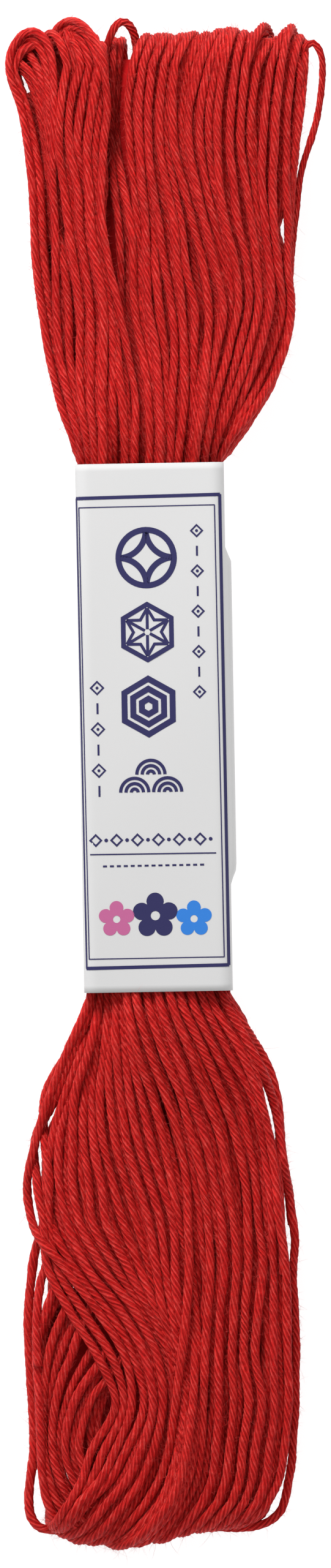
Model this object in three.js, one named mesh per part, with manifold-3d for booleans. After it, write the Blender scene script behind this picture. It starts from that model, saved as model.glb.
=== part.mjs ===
// A skein of sashiko thread held at the waist by a paper band, lying on its back.
// Millimetres. X runs across the skein, Y along it, Z up from the surface it lies on.

import * as THREE from 'three';
import { mergeVertices } from 'three/addons/utils/BufferGeometryUtils.js';
import Module from 'manifold-3d';

const wasm = await Module();
wasm.setup();

// Driving dimensions
const bandWidth = 12.6;
const bandHeight = 9.0;
const bandLength = 44.7;
const bandThickness = 1.0;
const bandCornerRadius = 2.6;
const bandCentreX = -1.03;
const bandCentreY = 4.78;
const bandTilt = THREE.MathUtils.degToRad(1.0);
const bandCornerSegments = 6;
const waistClearance = 0.3;
const waistHalfWidth = bandWidth / 2 - bandThickness - waistClearance;
const strandRidges = 18;
const pointsPerRidge = 3;
const ridgeHeight = 0.34;
const looseStrandRadius = 0.42;
const looseStrandSides = 8;
const looseStrandStepsPerPoint = 4;
const stationSpacing = 3.2;
const endStations = [0.3, 0.55, 0.75, 0.88, 0.96, 1.0];
const endFaceShare = 0.14;
const topFullness = 2.6;
const underCornerRadius = 2.6;
const underCornerSteps = 3;

// Section inside the band, which the band's tilt carries sideways along the skein.
function waistRow(y, lean) {
  const centre = bandCentreX - (y - bandCentreY) * Math.tan(bandTilt);
  return {
    y,
    left: centre - waistHalfWidth,
    right: centre + waistHalfWidth,
    under: bandThickness + waistClearance,
    top: bandHeight - bandThickness - waistClearance,
    lean,
    inBand: true,
  };
}

// Sections across the skein from the lower end to the upper one: place along the skein, left and
// right edges, heights of the underside and the top, and the sideways lean of the strands.
const sectionRows = [
  { y: -60.4, left: -11.9, right: 10.8, under: 0.0, top: 6.7, lean: 0.03 },
  { y: -58.5, left: -11.8, right: 11.0, under: 0.0, top: 7.0, lean: 0.05 },
  { y: -54.2, left: -11.7, right: 11.3, under: 0.0, top: 7.2, lean: 0.09 },
  { y: -51.0, left: -11.9, right: 11.5, under: 0.0, top: 7.3, lean: 0.11 },
  { y: -45.2, left: -12.1, right: 11.4, under: 0.0, top: 7.3, lean: 0.11 },
  { y: -41.8, left: -11.8, right: 11.2, under: 0.0, top: 7.3, lean: 0.10 },
  { y: -38.1, left: -11.4, right: 11.3, under: 0.0, top: 7.3, lean: 0.09 },
  { y: -33.7, left: -12.2, right: 10.6, under: 0.0, top: 7.4, lean: 0.07 },
  { y: -29.9, left: -11.5, right: 10.0, under: 0.0, top: 7.6, lean: 0.03 },
  { y: -25.8, left: -10.4, right: 9.8, under: 0.0, top: 7.9, lean: -0.05 },
  { y: -22.4, left: -8.6, right: 8.3, under: 0.0, top: 8.3, lean: -0.12 },
  { y: -18.9, left: -6.8, right: 5.8, under: 0.3, top: 8.4, lean: -0.17 },
  waistRow(-17.9, -0.18),
  waistRow(27.5, 0.0),
  { y: 28.5, left: -7.6, right: 5.2, under: 0.3, top: 8.4, lean: 0.0 },
  { y: 31.9, left: -9.2, right: 8.3, under: 0.0, top: 8.3, lean: 0.01 },
  { y: 34.7, left: -9.8, right: 9.8, under: 0.0, top: 8.0, lean: 0.02 },
  { y: 40.3, left: -10.9, right: 10.8, under: 0.0, top: 7.6, lean: 0.03 },
  { y: 45.7, left: -11.5, right: 10.9, under: 0.0, top: 7.4, lean: 0.0 },
  { y: 51.0, left: -11.8, right: 11.1, under: 0.0, top: 7.3, lean: -0.05 },
  { y: 55.7, left: -12.4, right: 11.6, under: 0.0, top: 7.2, lean: -0.11 },
  { y: 57.7, left: -12.8, right: 12.0, under: 0.0, top: 7.1, lean: -0.13 },
  { y: 61.0, left: -13.7, right: 12.1, under: 0.0, top: 6.8, lean: -0.06 },
];

// Outline of the upper end from left to right: outer lobe, hump, notch, right lobe.
const upperEdgeRows = [
  { x: -13.7, y: 62.4 },
  { x: -12.8, y: 63.8 },
  { x: -11.6, y: 64.3 },
  { x: -9.7, y: 64.1 },
  { x: -8.8, y: 64.8 },
  { x: -7.8, y: 65.2 },
  { x: -6.8, y: 64.8 },
  { x: -5.8, y: 63.5 },
  { x: -4.8, y: 63.0 },
  { x: -2.4, y: 63.8 },
  { x: 2.6, y: 64.1 },
  { x: 4.8, y: 64.5 },
  { x: 6.9, y: 64.0 },
  { x: 7.9, y: 64.7 },
  { x: 9.3, y: 63.6 },
  { x: 10.4, y: 64.6 },
  { x: 11.7, y: 63.8 },
  { x: 12.1, y: 62.2 },
];

// Outline of the lower end from left to right.
const lowerEdgeRows = [
  { x: -11.9, y: -61.4 },
  { x: -11.6, y: -63.0 },
  { x: -10.9, y: -63.7 },
  { x: -7.8, y: -64.0 },
  { x: -6.7, y: -64.6 },
  { x: -4.4, y: -64.7 },
  { x: -1.8, y: -65.2 },
  { x: -0.4, y: -64.8 },
  { x: 2.0, y: -63.9 },
  { x: 4.6, y: -63.4 },
  { x: 6.8, y: -63.5 },
  { x: 8.3, y: -63.2 },
  { x: 9.9, y: -62.2 },
  { x: 10.8, y: -61.0 },
];

// Hollows pressed into the top: the crease between the lobes of the upper end and the eye of the
// lower left bight, each with its centre, lean, half width, half length and depth.
const hollows = [
  { x: -4.4, y: 57.5, lean: -0.02, halfWidth: 0.8, halfLength: 9.5, depth: 1.8 },
  { x: -5.4, y: -53.3, lean: 0.33, halfWidth: 0.7, halfLength: 3.2, depth: 1.6 },
];

// Loops that stand clear of the wound form, as the path of the strand.
const slippedLoop = [
  { x: 11.4, y: 61.4, z: 4.4 },
  { x: 12.3, y: 62.6, z: 4.6 },
  { x: 12.8, y: 62.7, z: 4.7 },
  { x: 13.15, y: 62.0, z: 4.7 },
  { x: 13.28, y: 60.6, z: 4.6 },
  { x: 12.8, y: 56.7, z: 4.3 },
  { x: 11.7, y: 52.3, z: 4.1 },
  { x: 10.6, y: 47.0, z: 4.0 },
];
const kinkedLoop = [
  { x: -4.7, y: 62.0, z: 3.8 },
  { x: -4.4, y: 64.1, z: 4.0 },
  { x: -3.75, y: 64.75, z: 4.1 },
  { x: -3.05, y: 64.2, z: 4.0 },
  { x: -2.8, y: 62.4, z: 3.8 },
];

// Value of one column of a table at a place along it, with straight runs between the rows.
function along(rows, keyColumn, valueColumn, place) {
  const last = rows.length - 1;
  if (place <= rows[0][keyColumn]) return rows[0][valueColumn];
  if (place >= rows[last][keyColumn]) return rows[last][valueColumn];
  const next = rows.findIndex((row) => row[keyColumn] > place);
  const a = rows[next - 1];
  const b = rows[next];
  const share = (place - a[keyColumn]) / (b[keyColumn] - a[keyColumn]);
  return a[valueColumn] + (b[valueColumn] - a[valueColumn]) * share;
}

// Section sizes at a place along the skein.
function sectionAt(y) {
  const section = { y };
  for (const column of ['left', 'right', 'under', 'top', 'lean']) {
    section[column] = along(sectionRows, 'y', column, y);
  }
  return section;
}

// Places of the sections: every row of the table, with more between rows that lie far apart.
function stationPlaces() {
  const places = [];
  for (let i = 0; i < sectionRows.length - 1; i += 1) {
    const start = sectionRows[i].y;
    const run = sectionRows[i + 1].y - start;
    const throughBand = sectionRows[i].inBand && sectionRows[i + 1].inBand;
    const steps = throughBand ? 1 : Math.max(1, Math.round(run / stationSpacing));
    for (let k = 0; k < steps; k += 1) places.push(start + (run * k) / steps);
  }
  places.push(sectionRows[sectionRows.length - 1].y);
  return places;
}

// How far the hollows press the top down at a point.
function hollowDepth(x, y) {
  let depth = 0;
  for (const hollow of hollows) {
    const dy = y - hollow.y;
    const dx = x - hollow.x - hollow.lean * dy;
    const reach = (dx / hollow.halfWidth) ** 2 + (dy / hollow.halfLength) ** 2;
    depth += hollow.depth * Math.exp(-reach);
  }
  return depth;
}

// Loop of points round one section: the ridged top from left to right, then the flat underside.
function sectionLoop(section) {
  const { y, left, right, under, top, lean } = section;
  const width = right - left;
  const middle = (under + top) / 2;
  const points = [];
  const intervals = strandRidges * pointsPerRidge;
  for (let i = 0; i <= intervals; i += 1) {
    const even = (1 - Math.cos((Math.PI * i) / intervals)) / 2;
    const place = even + lean * 4 * even * (1 - even);
    const crown = (1 - Math.abs(2 * place - 1) ** topFullness) ** (1 / topFullness);
    const valley = i % pointsPerRidge === 0 ? ridgeHeight * crown : 0;
    const x = left + width * place;
    const sink = (hollowDepth(x, y) + valley) * Math.min(1, crown);
    points.push(new THREE.Vector3(x, y, middle + (top - middle) * crown - sink));
  }
  const corner = Math.min(underCornerRadius, width / 4);
  for (let k = 1; k <= underCornerSteps; k += 1) {
    const turn = (Math.PI / 2) * (k / underCornerSteps);
    const inset = corner * (1 - Math.cos(turn));
    const height = middle - (middle - under) * Math.sin(turn);
    points.push(new THREE.Vector3(right - inset, y, height));
  }
  for (let k = underCornerSteps; k >= 1; k -= 1) {
    const turn = (Math.PI / 2) * (k / underCornerSteps);
    const inset = corner * (1 - Math.cos(turn));
    const height = middle - (middle - under) * Math.sin(turn);
    points.push(new THREE.Vector3(left + inset, y, height));
  }
  return points;
}

// Loops that carry a section out to the outline of an end while its thickness rounds off.
function endLoops(section, edgeRows) {
  const base = sectionLoop(section);
  const middle = (section.under + section.top) / 2;
  const endLimit = Math.sqrt(1 - endFaceShare ** 2);
  return endStations.map((reach) => {
    const round = Math.sqrt(1 - (reach * endLimit) ** 2);
    return base.map((point) => {
      const edge = along(edgeRows, 'x', 'y', point.x);
      const y = point.y + (edge - point.y) * reach;
      return new THREE.Vector3(point.x, y, middle + (point.z - middle) * round);
    });
  });
}

// Closed mesh through a row of loops, with a face over each end.
function loft(loops) {
  const count = loops[0].length;
  const positions = loops.flatMap((loop) => loop.flatMap((point) => point.toArray()));
  const triangles = [];
  for (let j = 0; j < loops.length - 1; j += 1) {
    for (let i = 0; i < count; i += 1) {
      const a = j * count + i;
      const b = j * count + ((i + 1) % count);
      const c = a + count;
      const d = b + count;
      triangles.push(a, b, c, b, d, c);
    }
  }
  const lastStart = (loops.length - 1) * count;
  for (const [start, loop, outward] of [[0, loops[0], 1], [lastStart, loops.at(-1), -1]]) {
    const contour = loop.map((point) => new THREE.Vector2(point.x, point.z));
    for (const face of THREE.ShapeUtils.triangulateShape(contour, [])) {
      const turn = THREE.ShapeUtils.area(face.map((index) => contour[index]));
      const facing = turn * outward > 0 ? face : [...face].reverse();
      triangles.push(...facing.map((index) => start + index));
    }
  }
  const geometry = new THREE.BufferGeometry();
  geometry.setAttribute('position', new THREE.Float32BufferAttribute(positions, 3));
  geometry.setIndex(triangles);
  return geometry;
}

// Round strand along a path.
function strand(path, radius) {
  const curve = new THREE.CatmullRomCurve3(path.map((p) => new THREE.Vector3(p.x, p.y, p.z)));
  const round = new THREE.Shape().absarc(0, 0, radius, 0, Math.PI * 2);
  return new THREE.ExtrudeGeometry(round, {
    steps: path.length * looseStrandStepsPerPoint,
    curveSegments: looseStrandSides,
    extrudePath: curve,
  });
}

// Solid of a closed geometry, for joining and cutting.
function solidOf(geometry) {
  const bare = geometry.clone();
  bare.deleteAttribute('normal');
  bare.deleteAttribute('uv');
  const welded = mergeVertices(bare);
  return new wasm.Manifold(new wasm.Mesh({
    numProp: 3,
    vertProperties: new Float32Array(welded.attributes.position.array),
    triVerts: new Uint32Array(welded.index.array),
  }));
}

// Geometry of a solid.
function geometryOf(solid) {
  const mesh = solid.getMesh();
  const geometry = new THREE.BufferGeometry();
  geometry.setAttribute('position', new THREE.Float32BufferAttribute(mesh.vertProperties, 3));
  geometry.setIndex([...mesh.triVerts]);
  geometry.computeVertexNormals();
  return geometry;
}

// The wound hank with its two loops that stand clear.
function skeinGeometry() {
  const places = stationPlaces();
  const lower = sectionAt(places[0]);
  const upper = sectionAt(places.at(-1));
  const body = loft([
    ...endLoops(lower, lowerEdgeRows).reverse(),
    ...places.map((y) => sectionLoop(sectionAt(y))),
    ...endLoops(upper, upperEdgeRows),
  ]);
  const hank = solidOf(body)
    .add(solidOf(strand(slippedLoop, looseStrandRadius)))
    .add(solidOf(strand(kinkedLoop, looseStrandRadius)));
  return geometryOf(hank);
}

// Outline of a rectangle with round corners, centred over the waist with its lowest side given.
function roundedOutline(PathClass, width, low, high, radius) {
  const half = width / 2;
  const path = new PathClass();
  path.moveTo(-half + radius, low);
  path.lineTo(half - radius, low);
  path.absarc(half - radius, low + radius, radius, -Math.PI / 2, 0);
  path.lineTo(half, high - radius);
  path.absarc(half - radius, high - radius, radius, 0, Math.PI / 2);
  path.lineTo(-half + radius, high);
  path.absarc(-half + radius, high - radius, radius, Math.PI / 2, Math.PI);
  path.lineTo(-half, low + radius);
  path.absarc(-half + radius, low + radius, radius, Math.PI, Math.PI * 1.5);
  return path;
}

// The paper band: a flat-sided sleeve round the waist.
function bandGeometry() {
  const outer = roundedOutline(THREE.Shape, bandWidth, 0, bandHeight, bandCornerRadius);
  const innerWidth = bandWidth - 2 * bandThickness;
  const innerTop = bandHeight - bandThickness;
  const innerRadius = bandCornerRadius - bandThickness;
  outer.holes.push(roundedOutline(THREE.Path, innerWidth, bandThickness, innerTop, innerRadius));
  const geometry = new THREE.ExtrudeGeometry(outer, {
    depth: bandLength,
    bevelEnabled: false,
    curveSegments: bandCornerSegments,
  });
  geometry.rotateX(Math.PI / 2);
  geometry.translate(0, bandLength / 2, 0);
  geometry.rotateZ(bandTilt);
  geometry.translate(bandCentreX, bandCentreY, 0);
  return geometry;
}

const redCotton = new THREE.MeshStandardMaterial({ color: 0xb5191d, roughness: 0.9, metalness: 0 });
const palePaper = new THREE.MeshStandardMaterial({ color: 0xe6e6ea, roughness: 0.7, metalness: 0 });

const skein = new THREE.Mesh(skeinGeometry(), redCotton);
skein.name = 'skein';
const band = new THREE.Mesh(bandGeometry(), palePaper);
band.name = 'band';

const group = new THREE.Group();
group.name = 'sashiko_skein';
group.add(skein, band);

export default group;
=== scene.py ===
"""A skein of red sashiko thread with a paper band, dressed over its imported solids."""

import math

import bpy
import numpy as np
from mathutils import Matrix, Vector
from mathutils.bvhtree import BVHTree


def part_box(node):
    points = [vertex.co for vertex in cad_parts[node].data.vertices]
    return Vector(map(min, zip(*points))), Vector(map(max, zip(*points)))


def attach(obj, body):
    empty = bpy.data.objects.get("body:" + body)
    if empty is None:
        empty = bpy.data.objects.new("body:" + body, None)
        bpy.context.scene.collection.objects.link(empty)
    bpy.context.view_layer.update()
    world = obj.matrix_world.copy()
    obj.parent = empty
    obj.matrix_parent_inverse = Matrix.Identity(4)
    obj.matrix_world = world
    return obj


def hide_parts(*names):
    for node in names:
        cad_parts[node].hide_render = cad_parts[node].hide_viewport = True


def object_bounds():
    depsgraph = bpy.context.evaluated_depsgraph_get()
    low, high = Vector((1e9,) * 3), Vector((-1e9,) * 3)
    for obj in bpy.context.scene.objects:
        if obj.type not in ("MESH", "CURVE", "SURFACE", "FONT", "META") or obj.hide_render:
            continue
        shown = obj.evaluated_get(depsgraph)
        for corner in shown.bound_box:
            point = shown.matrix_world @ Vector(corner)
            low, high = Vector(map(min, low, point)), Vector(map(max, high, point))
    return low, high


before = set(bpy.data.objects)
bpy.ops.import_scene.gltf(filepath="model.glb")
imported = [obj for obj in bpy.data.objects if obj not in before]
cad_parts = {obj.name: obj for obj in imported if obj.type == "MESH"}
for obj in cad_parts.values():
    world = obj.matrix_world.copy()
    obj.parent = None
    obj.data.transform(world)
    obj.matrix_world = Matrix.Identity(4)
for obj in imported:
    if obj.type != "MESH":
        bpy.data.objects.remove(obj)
cad_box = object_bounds()
chance = np.random.default_rng(20)

# Sizes in millimetres, blurs in samples each way, turns of the plies in radians; meshes are written
# in metres
METRE = 0.001

# The thread: its radius and how full each part of it is, its plies, and the steps along it
STRAND_RADIUS = 0.405
UPPER_GIRTH = 0.93
LOWER_GIRTH = 0.97
SLIPPED_GIRTH = 0.78
PLIES = 6
PLY_LEAD = 4.5
LEAD_RANGE = (0.88, 1.15)
PLY_START = 6.28
PLY_DEPTH = 0.16
PLY_UNEVEN = 0.035
PLY_WANDER = 1.6
PLY_BLUR = 8
GIRTH_RANGE = (0.95, 1.05)
GIRTH_UNEVEN = 0.09
GIRTH_BLUR = 4
UPPER_DEPTH = 0.08
UPPER_FADE = 20.0
STREAK_DRAWN = 0.3
STREAK_SPREAD = 90
STRAND_STEP = 0.42
BACK_STEP = 0.5
FINE_STEP = 0.08
WANDER = 0.07
WANDER_WAVES = ((31.0, 0.6), (13.0, 0.5), (6.0, 0.25))

# The pile that the strands are laid on
CELL = 0.1
PILE_MARGIN = 2.0
PILE_DEPTH = 1.9
PILE_FLOOR = 0.6
PROBE_STEP = 0.5
PROBE_FROM = 50.0
PROBE_BLUR = 2
LAY_BLUR = 6
LAY_PASSES = 4
PASS_BLUR = 4
LAID_LEAST = 0.02
EDGE_TOP = 3.4
SOFTNESS = 0.14
DIP_EASE = 2.4
HIGHEST = 8.9
CREST_OVER = 0.1
SETTLE_CELLS = 5
SETTLE_REACH = 3.5
MOUTH_RISE = 0.9
MOUTH_REACH = 9.0

# How the strands go round the ends, along the back and along the sides
CREST_SHIFT = 1.46
END_REACH = 55
END_UNEVEN = 0.06
END_POINTS = 24
END_PULL = 0.3
BEHIND_SHIFT = 1.9
UNDER_ROW = 8
UNDER_UNEVEN = 1.5
BACK_POINTS = 14
BACK_SPREAD = 20.0
BACK_SINK = 12.0
BACK_CROWD = 0.75
BACK_CROWD_REACH = 24.0
SIDE_COUNT = 6
SIDE_POINTS = 16
SIDE_LOWEST = 0.9
SIDE_STEP = 0.8
SIDE_MIDDLE = 3.2
SIDE_TUCK = 0.9
SIDE_CURVE = 2.2
SIDE_WAVE = (0.1, 3.1)
SIDE_DRIFT = 0.8
SIDE_SHORT = 3.4
SIDE_CORNER = ((0.8, 1.9, 0.1), (2.6, 1.3, 0.3), (6.0, 1.2, 0.5))

# The hidden core
CORE_SHORT = (3.4, 3.6)
CORE_BOTTOM = 1.5
CORE_BELOW = 3.6
CORE_INSET = 2.3
CORE_MOUTH = 5.0
CORE_MOUTH_RISE = 1.6
CORE_MOUTH_WIDEN = 0.7
CORE_TAPER = 2.0
CORE_SQUARE = 0.6
CORE_LEAST = 1.5
CORE_END = (0.8, 0.5)
CORE_ROWS = 120
CORE_SIDES = 28

# Loose fibres: how many, how many steps each, and the ranges of length, lift and thickness
NAP = {"count": 26000, "segments": 1, "long": (0.25, 0.8), "lift": (0.2, 0.9), "thick": (0.007, 0.012)}
STRAYS = {"count": 2600, "segments": 3, "long": (0.7, 2.0), "lift": (0.1, 0.9), "thick": (0.006, 0.010)}
FIBRE_ROOT = 0.9
FIBRE_BEND = (0.2, 0.7)
FIBRE_TAPER = 0.6
FIBRE_CLEAR = 0.3
FIBRE_FLOOR = 0.02

# The paper band: its size across, up and along, its folds and its lap, the bulge of its right side
# between two photo rows, the room for strands inside it, and its ink
PAPER = 0.16
BAND_SIZE = (12.6, 9.0, 44.7)
BAND_CENTRE = (-1.03, 4.78)
BAND_TILT = math.radians(1.0)
BAND_CORNER = 2.3
BAND_FOLD = 1.1
BAND_LAP = 5.2
LAP_GAP = 0.03
LAP_STEP = (0.9, 0.02)
BAND_BULGE = 0.5
BAND_BULGE_ROWS = (908, 1432)
BULGE_BELOW = 0.7
BULGE_DEEP = 2.2
BULGE_INSET = 1.4
BULGE_CURVE = 0.55
BAND_EASE = 1.2
BAND_POINTS = 190
BAND_ROWS = 76
BAND_ROOM = PAPER + STRAND_RADIUS + 0.08
BAND_SIDE_ROOM = PAPER + STRAND_RADIUS + 0.02
PAPER_WAVE = 0.07
PAPER_RIPPLE = 0.03
INK_LIFT = 0.012
INK_THICK = 0.016

# The photo's scale: its own pixels, placed about the middle of the skein
MM_PER_PIXEL = 0.052
PHOTO_FRAME = (541, 2560)
PHOTO_CENTRE = (271.5, 1280.0)


def across(px):
    """Place across the skein of a column of the photo."""
    return (np.asarray(px, float) - PHOTO_CENTRE[0]) * MM_PER_PIXEL


def along(py):
    """Place along the skein of a row of the photo."""
    return (PHOTO_CENTRE[1] - np.asarray(py, float)) * MM_PER_PIXEL


# Strands of the upper front: the photo column of each at these photo rows
UPPER_ROWS = (800, 741, 655, 578, 500, 440, 372, 310, 244, 175, 110)
LEFT_LOBE = {
    "narrow": (150, 145, 132, 131, 130, 122, 114, 106, 97, 99, 110),
    "hump_first": (157, 156, 149, 149, 148, 140, 130, 126, 114, 115, 132),
    "hump_second": (163, 163, 158, 158, 158, 150, 140, 138, 127, 134, 147),
    "hump_third": (168, 168, 167, 168, 168, 159, 150, 147, 142, 152, 163),
    "hump_fourth": (186, 186, 184, 184, 180, 168, 159, 157, 156, 162, 168),
    "hump_fifth": (203, 205, 199, 192, 184, 174, 163, 161, 163, 169, 170),
    "hump_outer": (219, 220, 220, 209, 193, 179, 168, 167, 170, 175, 171),
}
RIGHT_LOBE = {
    "crease_left": (229, 231, 230, 220, 200, 198, 195, 187, 183, 182, 184),
    "crease_low": (236, 238, 236, 226, 210, 207, 204, 196, 188, 187, 188),
    "crease_right": (243, 245, 242, 232, 219, 217, 214, 204, 192, 190, 192),
    "first": (250, 252, 250, 243, 230, 229, 226, 219, 212, 209, 217),
    "second": (260, 262, 260, 254, 243, 241, 239, 232, 228, 227, 233),
    "second_low": (268, 270, 271, 269, 261, 255, 250, 242, 236, 235, 241),
    "third": (275, 278, 280, 285, 279, 269, 261, 251, 243, 243, 249),
    "fourth": (289, 292, 300, 300, 297, 290, 285, 274, 262, 261, 268),
    "between": (303, 306, 315, 316, 316, 304, 296, 285, 273, 272, 277),
    "fifth": (316, 320, 331, 338, 342, 333, 316, 300, 285, 281, 285),
    "fifth_low": (319, 323, 335, 346, 354, 343, 326, 310, 297, 296, 306),
    "sixth": (322, 326, 339, 353, 365, 353, 336, 320, 309, 310, 326),
    "seventh": (326, 330, 344, 363, 377, 366, 352, 338, 327, 327, 341),
    "seventh_low": (328, 332, 348, 368, 382, 375, 361, 349, 341, 342, 353),
    "eighth": (331, 335, 352, 373, 388, 384, 369, 359, 355, 357, 365),
    "ninth": (338, 342, 366, 390, 407, 404, 389, 382, 375, 377, 385),
    "tenth": (345, 349, 380, 405, 423, 420, 410, 402, 393, 395, 401),
    "eleventh": (349, 353, 386, 414, 432, 428, 421, 416, 409, 411, 420),
    "twelfth": (352, 356, 393, 423, 441, 439, 433, 428, 428, 434, 442),
    "thirteenth": (355, 360, 407, 441, 460, 454, 449, 446, 448, 451, 459),
    "outer": (359, 364, 424, 461, 475, 471, 471, 468, 468, 470, 477),
    "edge": (356, 361, 415, 452, 469, 473, 474, 477, 482, 490, 497),
}

# How far each strand leans sideways as it goes over the end
LEFT_LEAN = (0.0,) * len(LEFT_LOBE)
RIGHT_LEAN = (
    0.0, 0.0, 0.1, 0.29, 0.33, 0.35, 0.36, 0.38, 0.38, 0.38, 0.38, 0.37, 0.36, 0.28, 0.21, 0.17, 0.30, 0.44,
    0.30, 0.17, 0.24, 0.06,
)

# Where a strand runs lower than its neighbours: from one photo row to another, and by how much
LEFT_DIPS = {
    "hump_second": ((270, 900, 0.8),),
    "hump_fourth": ((230, 520, 0.4),),
    "hump_fifth": ((0, 610, 0.9),),
}
RIGHT_DIPS = {
    "crease_low": ((0, 300, 1.3), (300, 900, 0.9)),
    "crease_left": ((0, 305, 1.4), (470, 900, 0.8)),
    "first": ((290, 430, 0.35), (430, 900, 0.9)),
    "second_low": ((0, 420, 0.6), (555, 900, 0.8)),
    "fifth_low": ((0, 260, 0.45), (260, 900, 0.9)),
    "seventh": ((400, 900, 0.8),),
    "seventh_low": ((0, 260, 0.4), (260, 900, 0.9)),
    "eleventh": ((0, 450, 0.4), (450, 900, 0.8)),
    "edge": ((270, 900, 0.9),),
    "sixth": ((640, 900, 0.7),),
    "ninth": ((690, 900, 0.7),),
    "twelfth": ((690, 900, 0.7),),
    "thirteenth": ((700, 900, 0.6),),
    "between": ((0, 350, 0.5),),
    "crease_right": ((0, 290, 1.4),),
}

# How each loop of the left lobe goes over the end: photo row of the bend's middle, photo column
# and height of the leg behind, and its lean
LEFT_LOOPS = {
    "narrow": {"bend_row": 55, "behind": 66, "height": 2.6, "lean": -0.2},
    "hump_first": {"bend_row": 67, "behind": 104, "height": 3.0, "lean": -0.1},
    "hump_second": {"bend_row": 57, "behind": 99, "height": 2.8, "lean": -0.15},
    "hump_third": {"bend_row": 46, "behind": 93, "height": 2.6, "lean": -0.2},
    "hump_fourth": {"bend_row": 41, "behind": 88, "height": 2.3, "lean": -0.22},
    "hump_fifth": {"bend_row": 45, "behind": 90, "height": 2.0, "lean": -0.22},
    "hump_outer": {"bend_row": 35, "behind": 78, "height": 2.0, "lean": -0.25},
}

# Outlines of the two ends: photo column and photo row
UPPER_OUTLINE = (
    (74, 50), (90, 44), (103, 33), (120, 27), (134, 29), (148, 39), (158, 54), (168, 61), (190, 57),
    (224, 53), (272, 51), (286, 49), (299, 52), (327, 46), (351, 44), (364, 40), (384, 44), (394, 49),
    (409, 48), (415, 38), (424, 34), (437, 40), (439, 51), (450, 57), (458, 58), (464, 43), (472, 35),
    (483, 43), (487, 52), (496, 51), (502, 60),
)
LOWER_OUTLINE = (
    (48, 2493), (62, 2504), (86, 2505), (104, 2511), (142, 2522), (166, 2524), (205, 2525), (223, 2531),
    (243, 2530), (269, 2523), (310, 2507), (364, 2500), (400, 2503), (431, 2497), (451, 2485), (469, 2467),
)

# Loops of the ear, which lie face up from the body to the bend and back: photo column, photo row
# and how far each point sinks into the pile
EAR_LOOPS = (
    (
        (150, 800, 1.0), (142, 741, 0.9), (120, 655, 0.8), (105, 578, 0.7), (102, 500, 0.7),
        (98, 440, 0.7), (97, 372, 0.7), (95, 310, 0.8), (92, 250, 1.2),
    ),
    (
        (92, 300, 1.6), (84, 200, 1.2), (79, 150, 1.0), (74, 110, 1.0), (64, 80, 1.0), (48, 62, 1.0),
        (34, 66, 1.0), (25, 88, 1.0), (25, 110, 1.2), (32, 140, 1.6),
    ),
    (
        (86, 300, 1.6), (76, 200, 1.4), (70, 160, 1.3), (60, 125, 1.3), (50, 104, 1.3), (42, 94, 1.3),
        (36, 99, 1.3), (34, 112, 1.4),
    ),
    ((36, 76, 1.5), (48, 80, 1.4), (58, 92, 1.4), (66, 112, 1.4), (72, 140, 1.4), (78, 190, 1.6)),
    ((30, 86, 1.6), (38, 98, 1.5), (48, 110, 1.4), (60, 122, 1.4), (70, 140, 1.5), (76, 170, 1.6)),
    ((46, 151, 1.2), (52, 164, 1.2), (58, 185, 1.2), (66, 225, 1.3), (75, 300, 1.6)),
    ((57, 150, 1.3), (63, 165, 1.3), (68, 190, 1.3), (73, 225, 1.4), (79, 300, 1.6)),
    ((100, 62, 1.5), (110, 76, 1.3), (118, 95, 1.3), (123, 125, 1.3), (120, 180, 1.4), (112, 250, 1.6)),
    (
        (82, 400, 1.6), (78, 290, 0.5), (71, 215, 0.1), (65, 180, 0), (59, 159, 0), (54, 143, 0),
        (48, 129, 0), (42, 120, 0.1), (35, 112, 0.3), (28, 106, 0.7),
    ),
    (
        (83, 400, 1.6), (80, 290, 0.3), (75, 215, 0), (70, 180, 0), (65, 156, 0), (59, 137, 0),
        (51, 122, 0), (42, 112, 0.1), (33, 104, 0.5), (27, 98, 0.9),
    ),
    (
        (91, 450, 1.6), (89, 360, 0.4), (84, 290, 0.1), (79, 215, 0), (77, 175, 0), (74, 155, 0),
        (69, 135, 0), (62, 114, 0), (53, 97, 0.3), (44, 85, 0.9), (34, 82, 1.3), (28, 92, 1.3),
        (26, 110, 1.0), (30, 135, 0.5), (39, 160, 0.3), (51, 200, 0.1), (64, 290, 0.1), (70, 360, 0.4),
        (77, 450, 1.6),
    ),
    (
        (147, 850, 0.6), (144, 800, 0.4), (139, 741, 0.2), (124, 655, 0.1), (114, 578, 0.1),
        (112, 500, 0.1), (105, 440, 0.2), (94, 372, 0.8), (85, 310, 1.0), (81, 250, 0.5), (82, 205, 0),
        (80, 170, 0), (79, 143, 0), (76, 116, 0), (69, 88, 0), (56, 67, 0), (41, 63, 0), (28, 76, 0),
        (22, 103, 0), (26, 130, 0), (36, 157, 0), (48, 195, 0), (58, 244, 0), (65, 290, 0), (69, 360, 0.1),
        (72, 440, 0.1), (79, 500, 0.1), (92, 578, 0.1), (108, 655, 0.1), (131, 741, 0.1), (138, 800, 0.1),
        (142, 850, 0.1),
    ),
    (
        (143, 850, 0), (140, 800, 0), (134, 741, 0), (113, 655, 0), (97, 578, 0), (92, 500, 0),
        (91, 440, 0), (91, 372, 0), (87, 310, 0), (87, 250, 0), (89, 210, 0), (88, 175, 0), (88, 145, 0),
        (87, 115, 0), (83, 88, 0), (73, 66, 0), (57, 53, 0), (39, 56, 0), (24, 73, 0), (16, 98, 0),
        (17, 122, 0), (24, 147, 0), (33, 170, 0), (41, 205, 0), (46, 244, 0), (52, 290, 0), (56, 372, 0),
        (60, 440, 0), (68, 500, 0), (80, 578, 0), (98, 655, 0), (126, 741, 0), (134, 800, 0), (139, 850, 0),
    ),
)

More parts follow.
